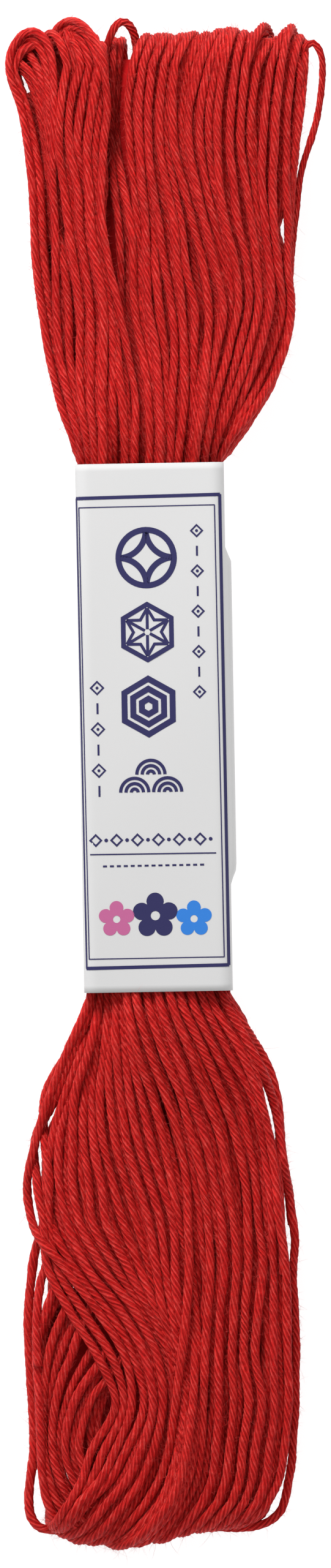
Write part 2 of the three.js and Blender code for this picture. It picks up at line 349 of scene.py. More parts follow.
# Strands of the lower front
LOWER_ROWS = (1570, 1640, 1712, 1794, 1865, 1930, 2000, 2070, 2140, 2210, 2290, 2370, 2450)
LOWER_FLOW = {
    "first": (157, 155, 135, 104, 86, 78, 86, 122, 178, 216, 235, 205, 143),
    "second": (160, 158, 141, 114, 97, 97, 110, 143, 200, 236, 251, 229, 177),
    "third": (164, 162, 146, 122, 120, 119, 134, 169, 220, 256, 266, 249, 206),
    "fourth": (168, 166, 152, 139, 138, 146, 154, 191, 234, 270, 277, 264, 231),
    "fifth": (171, 169, 158, 150, 154, 166, 176, 211, 246, 275, 283, 276, 247),
    "sixth": (176, 177, 172, 163, 170, 186, 203, 229, 256, 279, 290, 290, 263),
    "seventh": (182, 184, 180, 181, 189, 205, 225, 243, 262, 283, 295, 297, 270),
    "eighth": (188, 190, 190, 198, 207, 226, 246, 256, 267, 287, 299, 302, 275),
    "ninth": (193, 198, 204, 213, 226, 246, 265, 271, 281, 293, 304, 306, 279),
    "tenth": (198, 205, 214, 231, 247, 265, 284, 287, 293, 301, 309, 309, 282),
    "eleventh": (203, 209, 224, 250, 269, 282, 294, 304, 312, 318, 314, 305, 278),
    "twelfth": (232, 243, 264, 297, 316, 331, 341, 345, 340, 334, 332, 327, 304),
    "thirteenth": (249, 262, 286, 314, 337, 351, 364, 366, 359, 357, 357, 352, 332),
    "fourteenth": (266, 281, 309, 338, 362, 373, 383, 385, 381, 379, 381, 374, 356),
    "fifteenth": (283, 299, 331, 366, 388, 399, 404, 405, 400, 398, 407, 396, 379),
    "sixteenth": (300, 317, 351, 390, 406, 417, 423, 429, 421, 418, 428, 416, 400),
    "seventeenth": (314, 334, 370, 414, 429, 439, 446, 447, 446, 446, 448, 439, 421),
    "outer": (327, 350, 392, 424, 441, 450, 457, 467, 469, 471, 471, 463, 438),
}
LOWER_LEAN = (
    -0.75, -0.75, -0.75, -0.75, -0.76, -0.77, -0.78, -0.79, -0.78, -0.77, -0.76, -0.75, -0.74, -0.74,
    -0.75, -0.77, -0.8, -0.84,
)
LOWER_DIPS = {
    "first": ((1500, 1690, 0.7),),
    "second": ((1500, 1850, 0.7),),
    "fourth": ((1500, 1760, 0.7), (2150, 2600, 0.8)),
    "fifth": ((1500, 1830, 0.7), (2170, 2600, 0.8)),
    "sixth": ((2150, 2600, 0.8),),
    "seventh": ((1500, 1740, 0.7), (2030, 2600, 0.9)),
    "eighth": ((2170, 2600, 0.8),),
    "ninth": ((1500, 1745, 0.7), (2190, 2600, 0.8)),
    "tenth": ((1500, 1700, 0.7), (2150, 2600, 0.8)),
    "eleventh": ((1990, 2200, 0.8),),
}

# Strands laid over the lower front one by one: three at the left, lowest first, that stand off the
# body, and the one that crosses over the others
LONE_STRANDS = {
    "low": (155, 150, 114, 72, 73, 80, 82, 97, 136, 181, 203, 168, 124),
    "inner": (152, 148, 121, 90, 57, 61, 73, 80, 114, 158, 189, 148, 115),
    "edge": (151, 142, 112, 80, 58, 46, 55, 106, 160, 203, 215, 187, 132),
    "over": (214, 224, 243, 273, 294, 305, 309, 309, 304, 297, 286, 274, 240),
}
LONE_LEAN = (-0.75,)
LONE_DIPS = {
    "low": ((1500, 2040, 0.3),),
}

# Where the lower strands begin to turn: a photo row ahead of the last one, and the share of the way
# to the last column that a strand has gone there, on each side of a photo column
TURN_ROW = 2415
TURN_COLUMN = 300
TURN_LEFT = 0.42
TURN_RIGHT = 0.3
LOWER_TURN_ROWS = (*LOWER_ROWS[:-1], TURN_ROW, LOWER_ROWS[-1])

# Outline of the close-wound body: photo row, left column and right column
BODY_BOUNDS = (
    (40, 30, 498), (70, 18, 500), (96, 10, 501), (122, 11, 501), (146, 18, 500), (167, 27, 498),
    (204, 36, 493), (250, 44, 488), (300, 51, 484), (340, 55, 476), (358, 56, 458), (404, 58, 460),
    (420, 60, 474), (500, 68, 476), (570, 78, 470), (640, 94, 445), (700, 110, 406), (758, 123, 366),
    (800, 126, 362), (1580, 146, 372), (1622, 142, 376), (1690, 120, 416), (1760, 108, 426),
    (1784, 100, 430), (1820, 92, 435), (1843, 85, 438), (1858, 70, 447), (1875, 70, 454),
    (1920, 69, 463), (1955, 62, 463), (1985, 62, 465), (2015, 68, 467), (2042, 70, 469),
    (2070, 82, 474), (2110, 79, 478), (2139, 73, 480), (2160, 62, 480), (2220, 56, 478),
    (2308, 58, 477), (2362, 62, 472), (2400, 64, 466), (2420, 68, 458), (2450, 76, 446),
    (2540, 96, 430),
)

# Single strands that stand clear of the body: photo column, photo row, height
SLIPPED_LOOP = (
    (470, 150, 3.4), (482, 112, 3.7), (492, 88, 4.1), (502, 74, 4.4), (511, 70, 4.5), (520, 79, 4.5),
    (526, 96, 4.5), (527, 114, 4.4), (526, 140, 4.3), (522, 170, 4.2), (517, 198, 4.2), (508, 229, 4.1),
    (497, 262, 4.1), (489, 300, 4.0), (484, 345, 4.0), (478, 400, 3.9), (471, 470, 3.6),
    (462, 560, 3.4),
)
KINKED_LOOP = (
    (172, 125, 3.0), (171, 100, 3.6), (174, 80, 4.3), (180, 62, 4.8), (187, 46, 5.0), (196, 37, 5.0),
    (205, 37, 4.9), (212, 43, 4.6), (218, 53, 4.2), (222, 68, 3.8), (224, 90, 3.2), (225, 112, 2.8),
)
LOWER_LEFT_EDGE = (
    (112, 1900, 2.6), (84, 1965, 3.0), (66, 2015, 3.2), (57, 2045, 3.3), (51, 2088, 3.3),
    (47, 2131, 3.3), (46, 2180, 3.3), (50, 2250, 3.3), (54, 2315, 3.3), (55, 2375, 3.4),
    (49, 2420, 3.4), (47, 2452, 3.4), (52, 2480, 3.4), (64, 2494, 3.4), (88, 2498, 3.2),
    (125, 2503, 3.0), (170, 2508, 2.6),
)
LOWER_RIGHT_EDGE = (
    (454, 1795, 2.8), (458, 1840, 3.1), (460, 1872, 3.3), (465, 1905, 3.5), (472, 1942, 3.6),
    (477, 1982, 3.6), (482, 2023, 3.6), (480, 2060, 3.6), (479, 2090, 3.6), (482, 2131, 3.6),
    (484, 2194, 3.6), (483, 2256, 3.6), (482, 2315, 3.6), (479, 2350, 3.6), (477, 2385, 3.6),
    (472, 2417, 3.6), (467, 2444, 3.6), (459, 2466, 3.5), (442, 2483, 3.4), (420, 2492, 3.2),
    (395, 2495, 3.0), (350, 2494, 2.6),
)

# Strands at the right that leave the body below the band and come back: photo column, photo row
RIGHT_OUTRIGGERS = (
    (
        (338, 1570), (344, 1622), (380, 1690), (411, 1755), (427, 1815), (443, 1880), (453, 1950),
        (459, 2010), (462, 2080),
    ),
    (
        (350, 1570), (357, 1622), (393, 1690), (416, 1750), (425, 1790), (432, 1830), (446, 1880),
        (455, 1940), (458, 2000), (464, 2080),
    ),
    (
        (362, 1570), (368, 1622), (409, 1690), (441, 1750), (454, 1800), (457, 1850), (453, 1900),
        (446, 1970), (440, 2060),
    ),
    (
        (358, 1570), (364, 1622), (399, 1690), (425, 1740), (444, 1790), (455, 1835), (461, 1885),
        (470, 1935), (478, 2000),
    ),
)

# Bights of the lower left, drawn down and round below the strands that cross them: how far each
# sinks into the pile, then its photo columns and rows
LOWER_BIGHTS = (
    (1.0, ((215, 2390), (185, 2430), (160, 2470), (135, 2500))),
    (1.0, ((190, 2390), (160, 2430), (140, 2465), (112, 2495))),
    (1.0, ((165, 2390), (142, 2425), (120, 2460), (92, 2490))),
    (0.9, ((128, 2105), (109, 2156), (100, 2187), (92, 2218), (86, 2255), (82, 2300))),
    (0.8, ((205, 2225), (184, 2258), (168, 2290), (160, 2325), (164, 2362), (182, 2400))),
    (0.8, ((196, 2232), (172, 2266), (156, 2300), (148, 2340), (152, 2380), (172, 2425))),
    (0.6, ((186, 2205), (160, 2245), (140, 2285), (126, 2320), (120, 2362), (128, 2405), (160, 2455))),
    (0.6, ((165, 2180), (135, 2228), (114, 2275), (101, 2320), (96, 2365), (103, 2410), (135, 2462))),
    (0.6, ((130, 2140), (108, 2190), (90, 2240), (80, 2290), (78, 2345), (85, 2400), (115, 2470))),
    (0.6, (
        (110, 2090), (84, 2140), (70, 2180), (64, 2230), (64, 2300), (69, 2370), (82, 2440),
        (112, 2492),
    )),
    (0.1, (
        (200, 2215), (173, 2253), (154, 2275), (142, 2303), (133, 2334), (129, 2362), (137, 2395),
        (165, 2440),
    )),
    (0.1, (
        (180, 2195), (157, 2231), (139, 2256), (123, 2284), (113, 2314), (107, 2346), (108, 2378),
        (119, 2412), (150, 2460),
    )),
    (0.1, (
        (150, 2130), (127, 2181), (117, 2212), (104, 2241), (95, 2272), (89, 2303), (86, 2336),
        (87, 2370), (95, 2405), (110, 2440), (140, 2482),
    )),
    (0.1, (
        (122, 2105), (101, 2150), (89, 2177), (82, 2202), (76, 2231), (73, 2262), (71, 2294),
        (71, 2335), (73, 2375), (82, 2420), (96, 2455), (128, 2492),
    )),
    (0.1, (
        (104, 2070), (88, 2106), (76, 2140), (65, 2176), (60, 2206), (62, 2245), (65, 2290), (67, 2350),
        (69, 2400), (76, 2445), (98, 2494),
    )),
    (0.1, ((100, 2020), (80, 2055), (68, 2088), (62, 2125), (60, 2160), (60, 2190), (63, 2230))),
)


# Curves
def hermite(t, start, start_slope, end, end_slope):
    """A cubic between two ends with their slopes, at shares of the way from 0 to 1."""
    return (
        (2 * t**3 - 3 * t**2 + 1) * start
        + (t**3 - 2 * t**2 + t) * start_slope
        + (3 * t**2 - 2 * t**3) * end
        + (t**3 - t**2) * end_slope
    )


def eased(share):
    """A share held between 0 and 1, with soft ends."""
    share = np.clip(share, 0, 1)
    return share * share * (3 - 2 * share)


def run_along(points):
    """Distance from the first point to each point of a line, always rising a little."""
    chords = np.linalg.norm(np.diff(points, axis=0), axis=1)
    return np.concatenate([[0.0], np.cumsum(np.maximum(chords, 1e-6))])


def smooth_line(points, step):
    """Points at an even step along a smooth curve through the given ones."""
    points = np.asarray(points, float)
    knots = run_along(points)
    slopes = np.gradient(points, knots, axis=0)
    fine = np.linspace(0.0, knots[-1], max(8, int(knots[-1] / FINE_STEP)))
    span = np.clip(np.searchsorted(knots, fine, side="right") - 1, 0, len(knots) - 2)
    length = (knots[span + 1] - knots[span])[:, None]
    t = ((fine - knots[span])[:, None]) / length
    curve = hermite(t, points[span], length * slopes[span], points[span + 1], length * slopes[span + 1])
    run = run_along(curve)
    places = np.linspace(0.0, run[-1], max(4, int(round(run[-1] / step)) + 1))
    return np.stack([np.interp(places, run, curve[:, k]) for k in range(curve.shape[1])], axis=1)


def blur(values, reach):
    """Running mean with soft ends over a number of samples each way."""
    kernel = np.hanning(2 * reach + 3)[1:-1]
    kernel /= kernel.sum()
    padded = np.pad(values, reach, mode="edge")
    return np.convolve(padded, kernel, mode="valid")


def wander(count, size):
    """A slow sideways drift along a strand."""
    places = np.arange(count) * STRAND_STEP
    drift = np.zeros(count)
    for wavelength, share in WANDER_WAVES:
        drift += share * np.sin(2 * np.pi * (places / wavelength + chance.random()))
    return size * drift


def body_bounds(y):
    """Left and right edges of the close-wound body at places along it."""
    table = np.array(BODY_BOUNDS, float)[::-1]
    rows = along(table[:, 0])
    return np.interp(y, rows, across(table[:, 1])), np.interp(y, rows, across(table[:, 2]))


def photo_path(points):
    """A strand's path from photo columns and rows, with the heights where they are given."""
    table = np.array(points, float)
    places = np.column_stack([across(table[:, 0]), along(table[:, 1]), table[:, 2:]])
    return smooth_line(places, STRAND_STEP)


def turning(guides):
    """Lower guide strands with one more row, where they begin to turn round the end."""
    fuller = {}
    for name, columns in guides.items():
        share = TURN_LEFT if columns[-1] < TURN_COLUMN else TURN_RIGHT
        turn = columns[-2] + share * (columns[-1] - columns[-2])
        fuller[name] = (*columns[:-1], turn, columns[-1])
    return fuller


# Laying the strands
class Pile:
    """Height of what has been laid so far, over a grid of cells, seen from above."""

    def __init__(self, node):
        low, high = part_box(node)
        self.low = np.array([low.x, low.y]) / METRE - PILE_MARGIN
        size = np.array([high.x, high.y]) / METRE + PILE_MARGIN - self.low
        self.shape = tuple(np.ceil(size / CELL).astype(int) + 1)
        self.crown = self.solid_top(node)
        self.height = np.maximum(self.crown - PILE_DEPTH, PILE_FLOOR)
        self.base = self.height.copy()
        reach = int(STRAND_RADIUS / CELL)
        span = np.arange(-reach, reach + 1)
        dx, dy = np.meshgrid(span, span, indexing="ij")
        off = np.hypot(dx, dy) * CELL
        inside = off < STRAND_RADIUS
        self.cells = np.stack([dx[inside], dy[inside]], axis=1)
        self.rise = np.sqrt(STRAND_RADIUS**2 - off[inside] ** 2)

    def solid_top(self, node):
        """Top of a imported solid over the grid, softened past its outline."""
        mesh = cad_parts[node].data
        tree = BVHTree.FromPolygons(
            [v.co.copy() for v in mesh.vertices], [tuple(p.vertices) for p in mesh.polygons]
        )
        far = self.low + np.array(self.shape) * CELL + PROBE_STEP
        xs, ys = (np.arange(self.low[k], far[k], PROBE_STEP) for k in (0, 1))
        tops = np.full((len(xs), len(ys)), EDGE_TOP)
        for i, x in enumerate(xs):
            for j, y in enumerate(ys):
                start = Vector((x * METRE, y * METRE, PROBE_FROM * METRE))
                hit = tree.ray_cast(start, Vector((0, 0, -1)))[0]
                if hit is not None:
                    tops[i, j] = max(EDGE_TOP, hit.z / METRE)
        for axis in (0, 1):
            tops = np.apply_along_axis(blur, axis, tops, PROBE_BLUR)
        gx, gy = (self.low[k] + np.arange(self.shape[k]) * CELL for k in (0, 1))
        rows = np.stack([np.interp(gx, xs, tops[:, j]) for j in range(len(ys))], axis=1)
        return np.stack([np.interp(gy, ys, rows[i]) for i in range(len(gx))], axis=0)

    def lay(self, path, lift):
        """Heights of a strand laid along a path over the pile, which then holds it."""
        spots = np.round((path - self.low) / CELL).astype(int)
        cells = spots[:, None, :] + self.cells[None, :, :]
        i, j = (np.clip(cells[..., k], 0, self.shape[k] - 1) for k in (0, 1))
        rest = (self.height[i, j] + self.rise[None, :]).max(axis=1) + lift
        heights = blur(rest, LAY_BLUR)
        for _ in range(LAY_PASSES):
            heights = blur(np.maximum(heights, rest - SOFTNESS), PASS_BLUR)
        np.maximum.at(self.height, (i, j), heights[:, None] + self.rise[None, :])
        return heights

    def sample(self, grid, points, cell):
        """Values of a grid at points, smoothly between its cells."""
        place = (points - self.low) / cell
        i = np.clip(place[:, 0].astype(int), 0, grid.shape[0] - 2)
        j = np.clip(place[:, 1].astype(int), 0, grid.shape[1] - 2)
        u = np.clip(place[:, 0] - i, 0, 1)
        v = np.clip(place[:, 1] - j, 0, 1)
        near = grid[i, j] * (1 - v) + grid[i, j + 1] * v
        far = grid[i + 1, j] * (1 - v) + grid[i + 1, j + 1] * v
        return near * (1 - u) + far * u

    def crown_along(self, y):
        """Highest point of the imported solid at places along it."""
        gy = self.low[1] + np.arange(self.shape[1]) * CELL
        return np.interp(y, gy, self.crown.max(axis=0))

    def settle(self, strands, mouth):
        """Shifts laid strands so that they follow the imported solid's top, fuller at the band's mouth."""
        held = self.height[::SETTLE_CELLS, ::SETTLE_CELLS]
        cell = CELL * SETTLE_CELLS
        from_mouth = np.abs(self.low[1] + np.arange(held.shape[1]) * cell - mouth)
        fuller = MOUTH_RISE * np.clip(1 - from_mouth / MOUTH_REACH, 0, 1)
        laid = (held > self.base[::SETTLE_CELLS, ::SETTLE_CELLS] + LAID_LEAST).astype(float)
        gap = (self.crown[::SETTLE_CELLS, ::SETTLE_CELLS] + CREST_OVER + fuller - held) * laid
        reach = int(SETTLE_REACH / cell)
        for axis in (0, 1):
            gap = np.apply_along_axis(blur, axis, gap, reach)
            laid = np.apply_along_axis(blur, axis, laid, reach)
        shift = gap / np.maximum(laid, LAID_LEAST)
        for strand in strands:
            strand.height = strand.height + self.sample(shift, strand.front, cell)


class Strand:
    """One strand: its laid front, its heights and how it goes round the end of the skein."""

    def __init__(self, front, height, bend=None, layer=0):
        self.front = front
        self.height = height
        self.bend = bend
        self.layer = layer
        self.share = None


# The strands of a fan, and what sets apart each half of the skein and each layer of its turns
RIGHT_FAN = {
    "guides": RIGHT_LOBE, "rows": UPPER_ROWS, "leans": RIGHT_LEAN, "outline": UPPER_OUTLINE, "under": 18,
}
LEFT_FAN = {**RIGHT_FAN, "guides": LEFT_LOBE, "leans": LEFT_LEAN, "under": 7}
LOWER_FAN = {
    "guides": turning(LOWER_FLOW), "rows": LOWER_TURN_ROWS, "leans": LOWER_LEAN, "outline": LOWER_OUTLINE,
    "under": 18,
}
UPPER = {
    "outward": 1, "mouth": 27.1, "inside": 20.0, "drift": WANDER, "inset": 0.0, "lift": -0.14,
    "level": STRAND_RADIUS, "layer": 0, "far": 1.0, "sunk": (), "end": cad_box[1][1] / METRE - 1.0,
}
LOWER = {**UPPER, "outward": -1, "mouth": -17.6, "inside": -10.5, "end": cad_box[0][1] / METRE + 1.2}
UNDER = {"drift": 0.25, "inset": 0.5, "lift": -0.1, "level": 1.6, "layer": 1, "far": 0.8}
BETWEEN = {**UNDER, "drift": 0.12, "inset": 0.35, "lift": -1.55}
OUTRIGGER_LIFT = -0.2


def flow_line(flow, place):
    """Path of a strand at a place among its guide strands."""
    table = np.array(list(flow["guides"].values()), float)
    columns = [np.interp(place, np.arange(len(table)), column) for column in table.T]
    return np.stack([across(columns), along(flow["rows"])], axis=1)


def laid_path(flow, place, drift):
    """A flow line at an even step, with a slow sideways drift that fades at its ends."""
    path = smooth_line(flow_line(flow, place), STRAND_STEP)
    fade = np.sin(np.linspace(0, math.pi, len(path))) ** 0.5
    path[:, 0] += wander(len(path), drift) * fade
    return path


def dipped(path, dips):
    """How far a strand runs above its place on the pile: below it between some photo rows."""
    lift = np.zeros(len(path))
    for first, last, depth in dips:
        inside = np.minimum(along(first) - path[:, 1], path[:, 1] - along(last))
        lift -= depth * eased(inside / DIP_EASE + 0.5)
    return lift


def outline_row(outline, column):
    """Photo row of an end's outline at a photo column."""
    table = np.array(outline, float)
    return np.interp(column, table[:, 0], table[:, 1])


def fan(flow, places, pile, half, dips=None):
    """Strands laid side by side along guide strands, the lowest first, and carried round the end."""
    names = list(flow["guides"])
    index = np.arange(len(names))
    paths = [laid_path(flow, place, half["drift"]) for place in places]
    lean = np.interp(places, index, flow["leans"])
    ends = np.interp(places, index, [columns[-1] for columns in flow["guides"].values()])
    edge = along(outline_row(flow["outline"], ends + CREST_SHIFT * lean * END_REACH))
    edge = edge + chance.normal(0, END_UNEVEN, len(places)) - half["outward"] * half["inset"]
    dips = dips or {}
    first = {name: rank - len(dips) for rank, name in enumerate(dips)}
    on_guide = [names[int(place)] if place == int(place) else None for place in places]
    sunk = [dips.get(name, ()) if name else half["sunk"] for name in on_guide]
    turns = np.array([first.get(name, 0) for name in on_guide])
    alternate = np.arange(len(places)) % 2 * (turns == 0)
    strands = []
    for k in np.argsort(turns + alternate + 0.9 * chance.random(len(places))):
        path = paths[k]
        left, right = body_bounds(path[-1, 1])
        behind = path[-1, 0] + BEHIND_SHIFT * lean[k] * abs(edge[k] - path[-1, 1])
        bend = {
            "edge": edge[k],
            "lean": lean[k],
            "behind": np.clip(behind, left + STRAND_RADIUS, right - STRAND_RADIUS),
            "level": half["level"],
            "outward": half["outward"],
            "far": half["far"],
        }
        height = pile.lay(path, dipped(path, sunk[k]) + half["lift"])
        strands.append(Strand(path, height, bend, half["layer"]))
    return strands


def each_place(flow):
    """One place for every guide strand."""
    return np.arange(len(flow["guides"]), dtype=float)


def gap_places(flow):
    """Places halfway between neighbouring guide strands."""
    return each_place(flow)[:-1] + 0.5


def under_places(flow):
    """Places for the turns that lie under the front ones, spread evenly along one row of the guides."""
    columns = np.sort([guide[UNDER_ROW] for guide in flow["guides"].values()])
    count = flow["under"]
    spread = np.linspace(columns[0], columns[-1], count) + chance.normal(0, UNDER_UNEVEN, count)
    return np.sort(np.interp(spread, columns, np.arange(len(columns)) + 1e-6))


def left_lobe_loops(pile):
    """The ear, the narrow loop and the hump of the upper left, whose bends lie face up."""
    strands = []
    for points in EAR_LOOPS:
        path = photo_path(points)
        strands.append(Strand(path[:, :2], pile.lay(path[:, :2], UPPER["lift"] - path[:, 2])))
    names = list(LEFT_LOBE)
    for name in sorted(names, key=lambda n: n not in LEFT_DIPS):
        loop = LEFT_LOOPS[name]
        path = laid_path(LEFT_FAN, names.index(name), UPPER["drift"])
        bend = {
            "edge": float(along(loop["bend_row"])) + STRAND_RADIUS,
            "lean": loop["lean"],
            "behind": float(across(loop["behind"])),
            "level": loop["height"],
            "outward": UPPER["outward"],
            "far": UPPER["far"],
        }
        height = pile.lay(path, dipped(path, LEFT_DIPS.get(name, ())) + UPPER["lift"])
        strands.append(Strand(path, height, bend))
    return strands


def side_wall(side, half):
    """Strands stacked along one side of the skein, between its front and its back."""
    outward, end = half["outward"], half["end"]
    inward, short, share = np.array(SIDE_CORNER).T
    strands = []
    for k in range(SIDE_COUNT):
        level = SIDE_LOWEST + SIDE_STEP * k
        tuck = SIDE_TUCK * abs(level / SIDE_MIDDLE - 1) ** SIDE_CURVE
        y = np.linspace(half["inside"], end - outward * SIDE_SHORT, SIDE_POINTS)
        edge = body_bounds(y)[0 if side < 0 else 1]
        x = edge - side * (STRAND_RADIUS + tuck)
        z = level + SIDE_WAVE[0] * np.sin(y / SIDE_WAVE[1] + k)
        corner = [x[-1] - side * inward, end - outward * short, level + (SIDE_MIDDLE - level) * share]
        line = smooth_line(np.vstack([np.column_stack([x, y, z]), np.column_stack(corner)]), STRAND_STEP)
        line[:, 0] += wander(len(line), WANDER * SIDE_DRIFT)
        strands.append(line)
    return strands


# Centre lines
def round_end(start, bend):
    """Path round the end of the skein, from the front to the leg behind."""
    turn = np.linspace(0.0, bend["far"] * math.pi, END_POINTS)[1:]
    reach = abs(bend["edge"] - start[1]) - STRAND_RADIUS
    middle = (start[2] + bend["level"]) / 2
    pull = math.pi * bend["lean"] * reach
    x = hermite(turn / math.pi, start[0], pull, bend["behind"], -END_PULL * pull)
    y = start[1] + bend["outward"] * reach * np.sin(turn)
    z = middle + (start[2] - middle) * np.cos(turn)
    return np.stack([x, y, z], axis=1)


def back_leg(start, half, share, crowded):
    """Path along the back from the end of the skein into the band."""
    y = np.linspace(start[1], half["inside"], BACK_POINTS)
    lefts, rights = body_bounds(y)
    width = rights - lefts - 2 * STRAND_RADIUS
    first = (start[0] - lefts[0] - STRAND_RADIUS) / width[0]
    gone = np.abs(y - start[1])
    x = lefts + STRAND_RADIUS + width * (first + (share - first) * eased(gone / BACK_SPREAD))
    near = np.clip(1 - np.abs(y - half["mouth"]) / BACK_CROWD_REACH, 0, 1)
    near = np.where(np.abs(y - BAND_CENTRE[1]) < BAND_SIZE[2] / 2, 1.0, near)
    sunk = (STRAND_RADIUS - start[2]) * np.clip(gone / BACK_SINK, 0, 1)
    z = start[2] + sunk + BACK_CROWD * crowded * near
    return np.stack([x, y, z], axis=1)[1:]


def keep_in_band(line):
    """Draws a strand in where it passes through the paper band."""
    into = np.clip((BAND_SIZE[2] / 2 - np.abs(line[:, 1] - BAND_CENTRE[1])) / BAND_EASE + 1.0, 0, 1)
    slant = BAND_CENTRE[0] - (line[:, 1] - BAND_CENTRE[1]) * math.tan(BAND_TILT)
    limit = BAND_SIZE[0] / 2 - BAND_SIDE_ROOM
    held = np.clip(line[:, 0] - slant, -limit, limit)
    corner = np.clip(np.abs(held) - (BAND_SIZE[0] / 2 - BAND_CORNER), 0, BAND_CORNER)
    top = BAND_SIZE[1] - BAND_CORNER + np.sqrt(np.maximum(BAND_CORNER**2 - corner**2, 0)) - BAND_ROOM
    bottom = BAND_CORNER - np.sqrt(np.maximum((BAND_CORNER - BAND_ROOM) ** 2 - corner**2, 0))
    height = np.clip(line[:, 2], bottom, np.maximum(top, bottom))
    drawn = np.column_stack([slant + held, line[:, 1], height])
    return line + (drawn - line) * into[:, None]


def off_floor(line):
    """Keeps a strand between the surface that the skein lies on and the skein's top."""
    line[:, 2] = np.clip(line[:, 2], STRAND_RADIUS, HIGHEST)
    return line


def inside_body(line):
    """Draws a hidden strand in to the outline of the close-wound body."""
    left, right = body_bounds(line[:, 1])
    line[:, 0] = np.clip(line[:, 0], left + STRAND_RADIUS, right - STRAND_RADIUS)
    return line


def front_line(strand):
    """Centre line of a strand's front and of its way round the end."""
    line = np.column_stack([strand.front, strand.height])
    if strand.bend is not None:
        bend = np.vstack([line[-1], round_end(line[-1], strand.bend)])
        line = np.vstack([line, smooth_line(bend, STRAND_STEP)[1:]])
    return off_floor(keep_in_band(line))


def back_line(front, strand, half, crowded):
    """Centre line of the leg that follows a strand's front along the back."""
    leg = back_leg(front[-1], half, strand.share, crowded)
    line = smooth_line(np.vstack([front[-3:], leg]), BACK_STEP)
    return off_floor(keep_in_band(inside_body(line)))


def share_backs(strands):
    """Gives the strands even places across the back, in the order in which they come round."""
    order = np.argsort(np.argsort([s.bend["behind"] for s in strands]))
    for strand, rank in zip(strands, order):
        strand.share = (rank + 0.5) / len(strands)


def half_lines(laid, half, singles):
    """Centre lines of one half: the front, the back, and the inner turns with the side walls."""
    share_backs([s for s in laid if s.layer == 0 and s.bend is not None])
    front, back = [], []
    for strand in laid:
        if strand.layer == 0:
            front.append(front_line(strand))
        if strand.share is not None:
            back.append(back_line(front[-1], strand, half, len(back) % 2))
    front += [off_floor(keep_in_band(photo_path(points))) for points in singles]
    inner = [inside_body(front_line(s)) for s in laid if s.layer == 1]
    for side in (-1, 1):
        inner += [off_floor(keep_in_band(line)) for line in side_wall(side, half)]
    return front, back, inner


def upper_lines(pile):
    """All strands of the upper half, lowest first."""
    under = {**UPPER, **UNDER}
    between = {**UPPER, **BETWEEN}
    deeper = {**between, "sunk": ((0, 650, 0.15),)}
    laid = fan(RIGHT_FAN, under_places(RIGHT_FAN)[2:], pile, under)
    laid += fan(LEFT_FAN, under_places(LEFT_FAN), pile, under)
    laid += fan(RIGHT_FAN, each_place(RIGHT_FAN), pile, UPPER, RIGHT_DIPS)
    laid += left_lobe_loops(pile)
    laid += fan(RIGHT_FAN, gap_places(RIGHT_FAN)[3:], pile, deeper)
    laid += fan(LEFT_FAN, gap_places(LEFT_FAN)[:-1], pile, between)
    pile.settle(laid, UPPER["mouth"])
    return half_lines(laid, UPPER, (KINKED_LOOP,))


def lower_lines(pile):
    """All strands of the lower half, lowest first."""
    laid = fan(LOWER_FAN, under_places(LOWER_FAN)[1:], pile, {**LOWER, **UNDER})
    for sink, points in LOWER_BIGHTS:
        path = photo_path(points)
        laid.append(Strand(path, pile.lay(path, LOWER["lift"] - sink)))
    for points in RIGHT_OUTRIGGERS:
        path = photo_path(points)
        laid.append(Strand(path, pile.lay(path, OUTRIGGER_LIFT)))
    laid += fan(LOWER_FAN, each_place(LOWER_FAN), pile, LOWER, LOWER_DIPS)
    for name, columns in turning(LONE_STRANDS).items():
        lone = {**LOWER_FAN, "guides": {name: columns}, "leans": LONE_LEAN}
        laid += fan(lone, np.zeros(1), pile, LOWER, LONE_DIPS)
    laid += fan(LOWER_FAN, gap_places(LOWER_FAN), pile, {**LOWER, **BETWEEN})
    pile.settle(laid, LOWER["mouth"])
    return half_lines(laid, LOWER, (LOWER_LEFT_EDGE, LOWER_RIGHT_EDGE))


# Meshes
def mesh_piece(name, points, faces, material, attributes=None, smooth=True):
    """A mesh object in metres from points in millimetres."""
    mesh = bpy.data.meshes.new(name)
    mesh.from_pydata((np.asarray(points, float) * METRE).tolist(), [], faces)
    for key, values in (attributes or {}).items():
        vector = values.ndim == 2
        layer = mesh.attributes.new(key, "FLOAT_VECTOR" if vector else "FLOAT", "POINT")
        layer.data.foreach_set("vector" if vector else "value", values.astype(np.float32).ravel())
    mesh.materials.append(material)
    mesh.polygons.foreach_set("use_smooth", np.full(len(mesh.polygons), smooth))
    mesh.update()
    piece = bpy.data.objects.new(name, mesh)
    bpy.context.scene.collection.objects.link(piece)
    return piece


def tube_faces(offset, steps, count):
    """Faces of a tube of rings and of its two ends."""
    grid = offset + np.arange(steps * count).reshape(steps, count)
    ahead = np.roll(grid, -1, axis=1)
    quads = np.stack([grid[:-1], ahead[:-1], ahead[1:], grid[1:]], axis=-1).reshape(-1, 4)
    return [*quads.tolist(), grid[0][::-1].tolist(), grid[-1].tolist()]


def turned_frames(line):
    """Two square directions carried along a line without spin."""
    tangents = np.gradient(line, axis=0)
    tangents /= np.linalg.norm(tangents, axis=1)[:, None] + 1e-12
    first = np.empty_like(line)
    start = np.cross(tangents[0], [0.3, 0.1, 0.9])
    first[0] = start / np.linalg.norm(start)
    for k in range(1, len(line)):
        v = first[k - 1] - tangents[k] * np.dot(first[k - 1], tangents[k])
        first[k] = v / (np.linalg.norm(v) + 1e-12)
    return first, np.cross(tangents, first)


